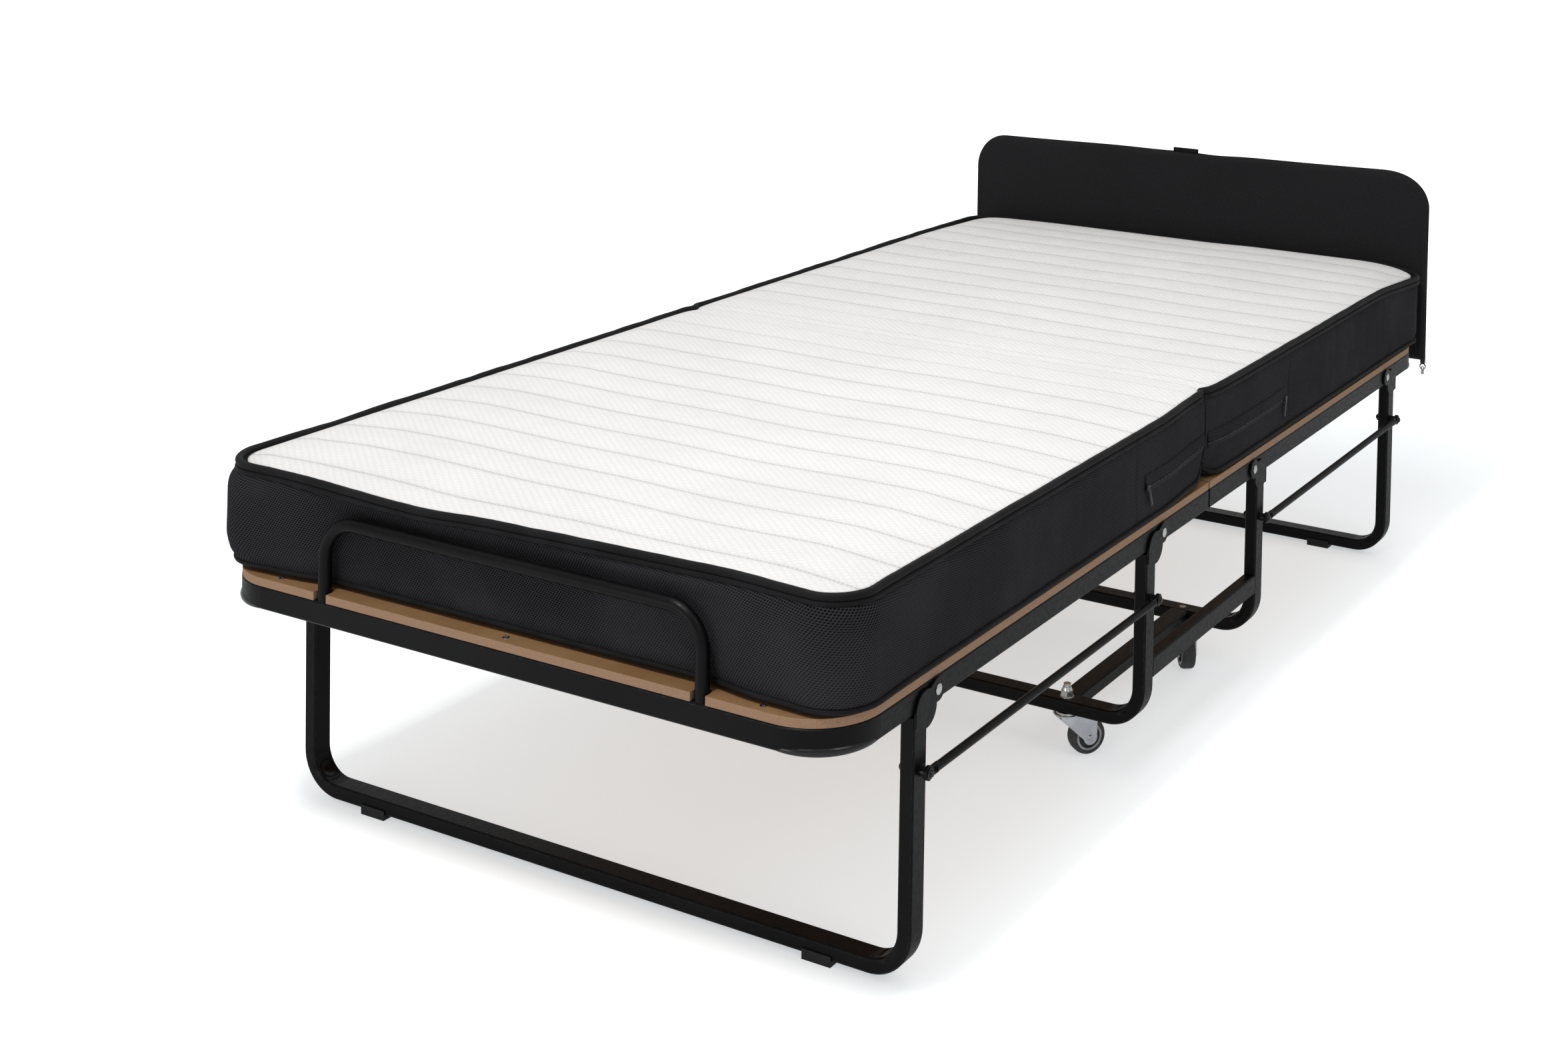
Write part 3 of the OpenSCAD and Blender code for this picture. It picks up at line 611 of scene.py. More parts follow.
class Half:
    """One foam block. u runs from the fold to the bed's end, y across, z up, in mm."""

    def __init__(self, side, end, radius, lines, seam, zip_end):
        self.side, self.end, self.rc, self.w = side, end, radius, 443.0
        self.lines, self.seam, self.zip_end = np.array(lines, float), seam, zip_end
        self.seed = 3.7 if side < 0 else 11.3
        self.sim = None

    def world(self, u, y, z):
        u, y, z = np.broadcast_arrays(u, y, z)
        return np.stack([CX + self.side * u, y, z], -1)

    def outline(self, step, extra=()):
        """Right side from the fold, round the end, back along the left side: points, outward normals, arc length."""
        e, w, r = self.end, self.w, self.rc
        n1 = max(2, int(round((e - r) / step)))
        us = np.linspace(0.3, e - r, n1 + 1)
        if len(extra):
            us = np.unique(np.round(np.concatenate([us, [x for x in extra if 1 < x < e - r]]), 3))
            keep = np.ones(len(us), bool)
            us = us[keep]
        pts = [(u, -w, 0.0, -1.0) for u in us]
        k = max(6, int(round(r * math.pi / 2 / (step * 0.8))))
        for i in range(1, k):
            t = i / k * math.pi / 2
            pts.append((e - r + r * math.sin(t), -w + r - r * math.cos(t), math.sin(t), -math.cos(t)))
        n2 = int(round(2 * (w - r) / step))
        for y in np.linspace(-(w - r), w - r, n2 + 1):
            pts.append((e, y, 1.0, 0.0))
        for i in range(k - 1, 0, -1):
            t = i / k * math.pi / 2
            pts.append((e - r + r * math.sin(t), w - r + r * math.cos(t), math.sin(t), math.cos(t)))
        pts += [(u, w, 0.0, 1.0) for u in us[::-1]]
        a = np.array(pts)
        s = np.concatenate([[0], np.cumsum(np.linalg.norm(np.diff(a[:, :2], axis=0), axis=1))])
        return a[:, :2], a[:, 2:], s

    def foot(self, u):
        """Height of the lower edge, which curls up at the fold."""
        r = 46.0 if self.side < 0 else 30.0
        t = np.clip(1 - u / r, 0, 1)
        return (r * 0.62) * (1 - np.sqrt(np.clip(1 - t * t, 0, 1)))

    def offset(self, p, nrm, s, z):
        """How far the border stands out from the base outline at height z."""
        u, y = p[:, 0], p[:, 1]
        lift = self.foot(u)
        top = PROFILE_Z[-1]
        zz = top - (top - z) * (top - PROFILE_Z[0]) / (top - PROFILE_Z[0] - lift)
        d = np.interp(zz, PROFILE_Z, PROFILE_D)
        front = np.clip(nrm[:, 0], 0, 1)
        t = (z - MAT_Z0) / (MAT_Z1 - MAT_Z0)
        if self.side < 0:                                   # held back between the hoop's posts
            mid = front * (1 - smooth01((np.abs(y) - 262) / 62))
            d = d - mid * np.interp(z, [343, 350, 372, 425, 438, 452, 470], [3.5, 4.0, 7.5, 8.5, 7.5, 1.5, -1.0])
            d = d + front * smooth01((np.abs(y) - 285) / 60) * np.interp(z, [343, 352, 440, 470], [5.5, 5.0, 3.0, 0.0])
        corner = np.exp(-((np.abs(y) - (self.w - 0.3 * self.rc)) / 55.0) ** 2) * np.exp(-((u - (self.end - 0.3 * self.rc)) / 75.0) ** 2)
        d = d + corner * np.interp(t, [0, 0.15, 0.8, 1], [2.0, 5.0, 4.5, 0.0])
        lf = corner * (y > 0) if self.side < 0 else 0.0
        d = d + lf * np.interp(t, [0, 0.1, 0.3, 0.85, 1], [1.0, 4.0, 8.0, 7.0, 5.0])
        side_in = (1 - front) * smooth01(u / 40)
        d = d + side_in * np.interp(z, [343, 350, 372, 400], [8.0, 7.0, 2.4, 0.0])
        ny = np.abs(nrm[:, 1])
        d = d + ny * np.where(y > 0, self.side_add(u, True), self.side_add(u, False))
        body = np.sin(np.clip(t, 0, 1) * math.pi)
        d = d + body * (1.1 * self.n_low + 0.7 * self.n_mid)
        fold = np.exp(-(u / 10.0) ** 2) * (1 - front)
        d = d - fold * np.interp(t, [0, 0.7, 1], [1.6, 2.6, 5.0])
        sm = np.exp(-((u - self.seam) / 2.0) ** 2) * (1 - front)
        d = d - sm * 1.6 * body
        sm2 = np.exp(-((u - self.seam) / 26.0) ** 2) * (1 - front)
        d = d - sm2 * 0.9 * body
        if self.sim is not None:
            d = d + self.sim(s, t)
        return d

    def side_add(self, u, left):
        """The blocks don't sit dead straight on the decks: extra width of each side."""
        u = np.asarray(u, float)
        if self.side < 0:
            return 4.0 * smooth01(u / 930) if left else 4.2 * smooth01((u - 60) / 120) - 4.2 * (1 - smooth01(u / 140))
        return -2.5 * smooth01(u / 940) if left else 2.0 - 5.2 * np.exp(-(u / 38.0) ** 2)

    def droop(self, u, y):
        """How far the upper edge sits below or above level."""
        if self.side < 0:
            a = -6.0 * np.exp(-((y - 150) / 150.0) ** 2) + 2.4 * np.exp(-((y + 285) / 100.0) ** 2) + 0.9 * np.sin(y / 31.0) * np.exp(-((y - 60) / 90.0) ** 2)
            return a * smooth01((u - 800) / 130)
        e = smooth01((u - 700) / 240)
        dl = np.exp(-(((y - 440) / 110.0) ** 2)) * 3.0
        dr = np.exp(-(((y + 440) / 52.0) ** 2)) * 9.5
        return e * (-2.0 * smooth01((y + 150) / 120) - dl - dr)

    def ready(self, p, s):
        ring = s / 210.0
        self.n_low = nz(ring, self.seed, 0.0)
        self.n_mid = nz(ring * 2.6, self.seed + 5, 2.0)

    def shell(self, step=9.0):
        """Closed border-and-base block."""
        extra = [self.seam + d for d in (-7, -3.5, -1.6, 0, 1.6, 3.5, 7)] + [2.2, 4, 7, 11, 16, 23, 32, 42]
        p, nrm, s = self.outline(step, extra)
        self.ready(p, s)
        self.loop = (p, nrm, s)
        n = len(p)
        lift = self.foot(p[:, 0])
        rows, uv = [], []
        zs = np.concatenate([PROFILE_Z[:1], np.linspace(344, 460, 27), [462, 464, 466, 467]])
        levels = []
        for z in zs:
            f = (z - PROFILE_Z[0]) / (467 - PROFILE_Z[0])
            zr = z + lift * (1 - f) + self.droop(p[:, 0], p[:, 1]) * f * f
            d = self.offset(p, nrm, s, zr)
            wave = 0.8 * nz(s / 90.0, self.seed + 9, 0.0) * (1 - abs(2 * f - 1))
            rows.append(np.stack([p[:, 0] + nrm[:, 0] * d, p[:, 1] + nrm[:, 1] * d, zr + wave], 1))
            uv.append(np.stack([s * 0.001, zr * 0.001], 1))
            levels.append(f)
        self.rows = np.array(rows)                          # level, loop point, (u, y, z)
        self.level_z = zs
        V = np.vstack(rows)
        U = np.vstack(uv)
        F = grid_faces(len(zs), n)
        # end wall at the fold: joins the two ends of every level
        m = len(zs)
        cols = 14
        base = len(V)
        inner = []
        ys = np.linspace(0, 1, cols + 2)[1:-1]
        for r in rows:
            a, b = r[0], r[-1]
            for t in ys:
                q = a + (b - a) * t
                q = q.copy()
                q[0] = 0.15
                inner.append(q)
        V = np.vstack([V, np.array(inner)])
        U = np.vstack([U, np.array([[q[1] * 0.001, q[2] * 0.001] for q in inner])])

        def idx(i, j):                                      # j 0 = right end, cols+1 = left end
            if j == 0:
                return i * n
            if j == cols + 1:
                return i * n + n - 1
            return base + i * cols + (j - 1)
        for i in range(m - 1):
            for j in range(cols + 1):
                F.append((idx(i, j), idx(i, j + 1), idx(i + 1, j + 1), idx(i + 1, j)))
        # caps: inset ring then one face each, hidden by the quilted top and by the deck board
        for lev, dz in ((0, 0.0), (m - 1, 0.0)):
            ring = [lev * n + k for k in range(n)] + [idx(lev, j) for j in range(cols, 0, -1)]
            c = V[ring].mean(0)
            b2 = len(V)
            q = V[ring] + (c - V[ring]) * 0.04
            q[:, 2] = V[ring][:, 2] + (0.5 if lev == 0 else -11.0)
            V = np.vstack([V, q])
            U = np.vstack([U, q[:, :2] * 0.001])
            k = len(ring)
            for a in range(k):
                F.append((ring[a], ring[(a + 1) % k], b2 + (a + 1) % k, b2 + a))
            F.append(tuple(b2 + a for a in range(k)))
        P = self.world(V[:, 0], V[:, 1], V[:, 2])
        return P, F, U

    def phase(self, u, y):
        """Quilting phase: whole numbers on the stitched lines."""
        L = self.lines
        bend = 9.0 * smooth01((np.abs(y) - 330) / 110) * smooth01(u / 250)
        wave = 3.4 * np.sin(y / 118.0 + np.round(u / 71.0) * 0.0 + u / 260.0) + 2.0 * np.sin(y / 47.0 + u / 140.0)
        uu = u - bend - wave * smooth01(u / 60) * smooth01((self.end - u) / 50)
        k = np.arange(len(L), dtype=float)
        lo = (uu - L[0]) / (L[1] - L[0])
        hi = (len(L) - 1) + (uu - L[-1]) / (L[-1] - L[-2])
        mid = np.interp(uu, L, k)
        return np.where(uu < L[0], lo, np.where(uu > L[-1], hi, mid))

    def top_height(self, u, y):
        e = self.end - 2.0
        w = self.w - 2.0 + np.where(y > 0, self.side_add(u, True), self.side_add(u, False))
        # distance in from the outline, rounded corners included
        du = e - u
        dy = w - np.abs(y)
        r = self.rc
        cx_, cy_ = u - (e - r), np.abs(y) - (w - r)
        inc = (cx_ > 0) & (cy_ > 0)
        d = np.where(inc, r - np.hypot(np.clip(cx_, 0, None), np.clip(cy_, 0, None)), np.minimum(du, dy))
        d = np.clip(d, 0, None)
        rise = 4.2 * (1 - np.exp(-d / 9.0)) + 1.6 * smooth01(d / 120.0)
        phi = self.phase(u, y)
        puff = np.abs(np.sin(math.pi * phi)) ** 0.62
        if self.sim_top is not None:
            kk = np.arange(len(self.lines), dtype=float)
            flat = np.interp(phi, kk, self.lines)
            flat = np.where(phi < 0, self.lines[0] + phi * (self.lines[1] - self.lines[0]), flat)
            over = phi - kk[-1]
            flat = np.where(over > 0, self.lines[-1] + over * (self.lines[-1] - self.lines[-2]), flat)
            top = np.percentile(self.sim_top.z, 90)
            puff = np.clip(self.sim_top.rise(flat * 0.001, np.clip(y, -441, 441) * 0.001) / top, 0, 1.15)
        amp = 2.5 if self.side > 0 else 2.1
        plain = smooth01(1 - (u - 70) / 70.0)
        amp = amp * (1 - 0.75 * plain)
        soft = smooth01(d / 16.0)
        h = rise - amp * (1 - puff) * soft
        h = h - 1.0 * np.exp(-(u / 26.0) ** 2) - 3.0 * np.exp(-(u / 9.0) ** 2) * np.exp(-(d / 16.0) ** 2)
        return h, phi, plain, d

    def pad(self, name):
        """Closed quilted top panel, its rows following the stitched lines."""
        L = self.lines
        e = self.end - 2.0
        w = self.w - 2.0
        rows_u = [0.0]
        edges = [0.0] + list(L) + [e]
        for a, b in zip(edges[:-1], edges[1:]):
            span = b - a
            for f in (2.2, 5.5, 11.0, 19.0, 28.0):
                if f < span / 2 - 2:
                    rows_u.append(a + f)
            rows_u.append((a + b) / 2)
            for f in (28.0, 19.0, 11.0, 5.5, 2.2):
                if f < span / 2 - 2:
                    rows_u.append(b - f)
            rows_u.append(b)
        rows_u = np.unique(np.round([x for x in rows_u if x <= e], 2))
        r = self.rc
        corner = [e - r + r * math.sin(t) for t in np.linspace(0, math.pi / 2, 12)]
        keep = [u for u in rows_u if u < e - r - 2]
        rows_u = np.array(sorted(set([round(float(x), 3) for x in keep + corner])))
        nc = 112
        ts = np.linspace(-1, 1, nc)
        ts = np.sign(ts) * (1 - (1 - np.abs(ts)) ** 1.12)
        U_, Y_ = [], []
        for u in rows_u:
            ww = w if u < e - r else w - r + math.sqrt(max(0.0, r * r - (u - (e - r)) ** 2))
            ww = ww - 6.0 * math.exp(-(u / 12.0) ** 2)
            y = ts * (ww + np.where(ts > 0, self.side_add(u, True), self.side_add(u, False)))
            uu = np.full(nc, u)
            bend = 9.0 * smooth01((np.abs(y) - 330) / 110) * smooth01(u / 250)
            wave = 3.4 * np.sin(y / 118.0 + u / 260.0) + 2.0 * np.sin(y / 47.0 + u / 140.0)
            shift = (bend + wave * smooth01(u / 60) * smooth01((self.end - u) / 50)) * smooth01((e - r - u) / 40)
            U_.append(uu + shift)
            Y_.append(y)
        U_, Y_ = np.array(U_), np.array(Y_)
        nr = len(rows_u)
        h, phi, plain, d = self.top_height(U_, Y_)
        lo = 0.5 * nz(U_ / 160.0, Y_ / 160.0, self.seed) * smooth01(d / 40.0)
        Z = 470.0 + h + lo
        Z = Z + self.droop(U_, Y_)
        Z = np.minimum(Z, 478.6)
        Zb = np.full_like(Z, 465.6) + self.droop(U_, Y_)
        # the far edge is pulled down behind its binding
        dl = np.max(Y_, axis=1, keepdims=True) - Y_
        Z = np.maximum(Z - 3.4 * np.exp(-(dl / 20.0) ** 2), Zb + 0.6)
        # top, then a rounded rim, then the flat underside
        ringU, ringY = U_, Y_
        V = [np.stack([U_, Y_, Z], -1).reshape(-1, 3)]
        uvs = [np.stack([U_ * 0.001, Y_ * 0.001], -1).reshape(-1, 2)]
        ph = [phi.ravel()]
        pl = [plain.ravel()]
        F = grid_faces(nr, nc)
        base = nr * nc
        V.append(np.stack([U_, Y_, Zb], -1).reshape(-1, 3))
        uvs.append(uvs[0]); ph.append(phi.ravel()); pl.append(plain.ravel())
        F += [tuple(reversed(q)) for q in grid_faces(nr, nc, base)]
        loop = [j for j in range(nc)] + [i * nc + nc - 1 for i in range(1, nr)] + \
               [(nr - 1) * nc + j for j in range(nc - 2, -1, -1)] + [i * nc for i in range(nr - 2, 0, -1)]
        k = len(loop)
        for a in range(k):
            p, q = loop[a], loop[(a + 1) % k]
            F.append((p, q, base + q, base + p))
        V = np.vstack(V)
        P = self.world(V[:, 0], V[:, 1], V[:, 2])
        uvv = np.vstack(uvs)
        uvv[:, 0] *= 1.0
        o = make(name, P, F, MAT["knit"], uvv, True, {"quilt": np.concatenate(ph), "plain": np.concatenate(pl)})
        return o

    def surf(self, q, z):
        """Point on the border at loop point q (float index) and height z."""
        p, nrm, s = self.loop
        i0 = np.clip(np.floor(q).astype(int), 0, len(p) - 2)
        f = (q - i0)[:, None]
        out = []
        for k in range(len(q)):
            col = self.rows[:, i0[k], :] * (1 - f[k]) + self.rows[:, i0[k] + 1, :] * f[k]
            zz = z[k]
            out.append([np.interp(zz, col[:, 2], col[:, 0]), np.interp(zz, col[:, 2], col[:, 1]), zz])
        return np.array(out)

    def side_q(self, u, left):
        """Loop index of the point at u on the right or left side."""
        p, nrm, s = self.loop
        n = len(p)
        half = [i for i in range(n) if abs(nrm[i, 0]) < 1e-6 and (nrm[i, 1] > 0) == left]
        uu = p[half, 0]
        order = np.argsort(uu)
        return np.interp(u, uu[order], np.array(half, float)[order])


foot_lines = [98, 157, 238, 314, 389, 461, 532, 603, 674, 745, 815, 891]
head_lines = [86, 150, 222, 295, 368, 441, 514, 587, 660, 733, 806, 872]
FOOT = Half(-1, 931.0, 50.0, foot_lines, 247.0, 222.0)
HEAD = Half(+1, 942.0, 46.0, head_lines, 300.0, 284.0)
for h in (FOOT, HEAD):
    h.sim_top = None
    # quilted top: sewn down on every stitched line and round its edge, blown up between them
    rows = [0.0] + list(h.lines) + [h.end - 2.0]
    a = []
    for r0, r1 in zip(rows[:-1], rows[1:]):
        k = max(3, round((r1 - r0) / 12.0))
        a += list(np.linspace(r0, r1, k + 1)[:-1])
    a = np.array(a + [rows[-1]]) * 0.001
    b = np.linspace(-0.441, 0.441, 64)
    pin = np.zeros((len(a), len(b)), bool)
    for r0 in rows:
        pin[np.argmin(np.abs(a - r0 * 0.001))] = True
    pin[:, 0] = pin[:, -1] = True
    h.sim_top = Sheet(a, b, pin, -0.006, 20.0)
    # border cloth, unrolled: held at both bindings, at the seams and along the zips
    p_, n_, s_ = h.outline(9.0)
    total = s_[-1]
    a = np.linspace(0, total, int(total / 13.0)) * 0.001
    b = np.linspace(0.0, 0.124, 12)
    pin = np.zeros((len(a), len(b)), bool)
    pin[:, 0] = pin[:, -1] = True
    pin[0] = pin[-1] = True
    for sp in (h.seam, total - h.seam):
        pin[np.argmin(np.abs(a - sp * 0.001))] = True
    zr = np.argmin(np.abs(b - 0.052))
    pin[a < h.zip_end * 0.001, zr] = True
    pin[a > (total - h.zip_end) * 0.001, zr] = True
    h.sim_side = Sheet(a, b, pin, -0.007, 8.0, frames=14)
    zz = h.sim_side.z
    k = np.ones(9) / 9.0
    mean = np.array([np.convolve(np.pad(zz[:, j], 4, "edge"), k, "valid") for j in range(zz.shape[1])]).T
    level = np.median(mean, axis=0)[None, :]
    h.sim_side.z = zz - level
    h.sim = lambda s, t, hh=h: np.clip(hh.sim_side.rise(s * 0.001, np.asarray(t) * 0.124), -2.6, 2.2) * 0.3


def mattress_half(half, tag, body, cad):
    P, F, U = half.shell()
    core = make(f"mattress_{tag}_border", P, F, MAT["border"], U)
    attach(core, body)
    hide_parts(cad)
    pad = half.pad(f"mattress_{tag}_top")
    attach(pad, body)
    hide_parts("mattress_centre")

    p, nrm, s = half.loop
    n = len(p)
    # top binding: a full lip and a thinner one under it
    path = half.rows[-3].copy()
    wob = 0.9 * nz(s / 60.0, half.seed + 20, 0) + 0.5 * nz(s / 23.0, half.seed + 27, 0)
    for r, dz, out, nm in ((4.7, 3.2, 2.4, "a"), (3.7, -4.2, 3.9, "b")):
        q = path.copy()
        q[:, 0] += nrm[:, 0] * (out + 0.5 * wob)
        q[:, 1] += nrm[:, 1] * (out + 0.5 * wob)
        q[:, 2] += dz + wob * (1.0 if nm == "a" else 0.6) + (1.2 * np.clip(nrm[:, 1], 0, 1) if nm == "a" else 0.0)
        q[:, 0] = np.maximum(q[:, 0], 0.2)
        W = half.world(q[:, 0], q[:, 1], q[:, 2])
        rr = r * (1 + 0.05 * nz(s / 30.0, half.seed + 31, 0))
        v, f, u = sweep(W, rr, 12)
        piece = make(f"mattress_{tag}_binding_{nm}", v, f, MAT["tape"], u)
        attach(piece, body)
    # lower binding
    q = half.rows[2].copy()
    wob = 0.8 * nz(s / 45.0, half.seed + 40, 0)
    q[:, 0] += nrm[:, 0] * (2.4 + 0.7 * wob)
    q[:, 1] += nrm[:, 1] * (2.4 + 0.7 * wob)
    q[:, 2] += 1.2 + 0.5 * wob
    q[:, 0] = np.maximum(q[:, 0], 0.8)
    W = half.world(q[:, 0], q[:, 1], q[:, 2])
    v, f, u = sweep(W, 3.3, 10)
    piece = make(f"mattress_{tag}_binding_low", v, f, MAT["tape"], u)
    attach(piece, body)
    return core, pad


for half, tag, body, cad in ((FOOT, "foot", "foot_deck", "mattress_foot"), (HEAD, "head", "head_deck", "mattress_head")):
    mattress_half(half, tag, body, cad)


def section_strip(half, us, zref, left, section):
    """Closed strip lying on the border: section is a list of (out, dz) in mm, run along u."""
    q = half.side_q(us, left)
    sgn = 1.0 if left else -1.0
    cols = []
    for out, dz in section:
        zz = zref + dz
        base = half.surf(q, np.broadcast_to(zz, us.shape))
        base[:, 0] = us
        base[:, 1] += sgn * out
        cols.append(base)
    A = np.array(cols).transpose(1, 0, 2)                   # along, section, xyz
    m, n = A.shape[:2]
    V = A.reshape(-1, 3)
    F = grid_faces(m, n, 0, True)
    F.append(tuple(range(n)))
    F.append(tuple((m - 1) * n + j for j in reversed(range(n))))
    per = np.concatenate([[0], np.cumsum([math.dist(section[i], section[i + 1]) for i in range(n - 1)])])
    uv = np.stack([np.repeat(us, n) * 0.001, np.tile(per, m) * 0.001], 1)
    return half.world(V[:, 0], V[:, 1], V[:, 2]), F, uv


def bevel_box(name, size, mat, bevel=0.4, seg=2):
    """A small box with rounded edges about its own origin, size in mm."""
    me = bpy.data.meshes.new(name)
    bm = bmesh.new()
    bmesh.ops.create_cube(bm, size=1.0)
    for v in bm.verts:
        v.co = Vector((v.co.x * size[0], v.co.y * size[1], v.co.z * size[2])) * 0.001
    bmesh.ops.bevel(bm, geom=list(bm.edges), offset=bevel * 0.001, segments=seg, profile=0.5, affect="EDGES")
    bm.to_mesh(me)
    bm.free()
    me.polygons.foreach_set("use_smooth", [True] * len(me.polygons))
    me.materials.append(mat)
    o = bpy.data.objects.new(name, me)
    bpy.context.scene.collection.objects.link(o)
    return o


def add_zip(half, tag, body, left):
    end = "l" if left else "r"
    us = np.linspace(5.0, half.zip_end, 60)
    sag = 1.2 * np.sin(us / half.zip_end * math.pi) + 0.8 * nz(us / 40.0, half.seed + (60 if left else 50), 0)
    z0 = 396.0 - sag
    # fabric flap over the coil
    sec = [(-0.8, 15.0), (0.4, 15.2), (1.3, 13.6), (2.0, 10.0), (2.6, 5.0), (2.9, 1.4), (2.4, 0.2), (1.5, 0.0), (0.9, 1.2), (-0.8, 3.0)]
    v, f, u = section_strip(half, us, z0, left, sec)
    o = make(f"mattress_{tag}_zip_flap_{end}", v, f, MAT["border"], u)
    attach(o, body)
    # tape below it and the toothed coil
    sec = [(-0.8, -8.5), (0.3, -8.6), (0.7, -8.0), (0.7, -1.0), (0.6, 0.8), (-0.8, 1.0)]
    v, f, u = section_strip(half, us, z0, left, sec)
    o = make(f"mattress_{tag}_zip_tape_{end}", v, f, MAT["tape"], u)
    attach(o, body)
    uc = np.linspace(5.0, half.zip_end - 2, 300)
    q = half.side_q(uc, left)
    zc = np.interp(uc, us, z0) - 1.8
    c = half.surf(q, zc)
    c[:, 0] = uc
    c[:, 1] += (1 if left else -1) * 1.0
    r = 1.25 + 0.35 * np.sin(np.arange(len(uc)) * math.pi * 0.94)
    v, f, u = sweep(half.world(c[:, 0], c[:, 1], c[:, 2]), r, 6)
    o = make(f"mattress_{tag}_zip_coil_{end}", v, f, MAT["zip_coil"], u)
    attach(o, body)
    # slider and pull tab
    ue = half.zip_end - 4
    pt = half.surf(half.side_q(np.array([ue]), left), np.array([np.interp(ue, us, z0) - 1.8]))[0]
    sgn = 1 if left else -1
    W = half.world(np.array(ue), np.array(pt[1] + sgn * 2.6), np.array(pt[2])) * 0.001
    sl = bevel_box(f"mattress_{tag}_zip_slider_{end}", (9.5, 3.6, 7.5), MAT["bolt_black"], 1.1, 3)
    sl.location = W
    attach(sl, body)
    tab = bevel_box(f"mattress_{tag}_zip_pull_{end}", (6.2, 1.3, 25.0), MAT["zip_coil"], 0.5, 2)
    tab.location = Vector(W) + Vector((half.side * -0.0045, sgn * 0.0021, -0.0130))
    tab.rotation_euler = (0.05 * sgn, 0.33 * half.side, 0)
    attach(tab, body)


MAT["zip_coil"] = rubber("zip_coil", (0.010, 0.010, 0.011), 0.42)
for half, tag, body in ((FOOT, "foot", "foot_deck"), (HEAD, "head", "head_deck")):
    for left in (False, True):
        add_zip(half, tag, body, left)

# ------------------------------------------------------------------ headboard
hb_lo, hb_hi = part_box("headboard_panel")
hx0, hx1 = hb_lo.x * 1000, hb_hi.x * 1000
hw = hb_hi.y * 1000
hz0, hz1 = hb_lo.z * 1000, hb_hi.z * 1000


HB_WIDE = 1.035      # the loose cover stands out further past the board on the left


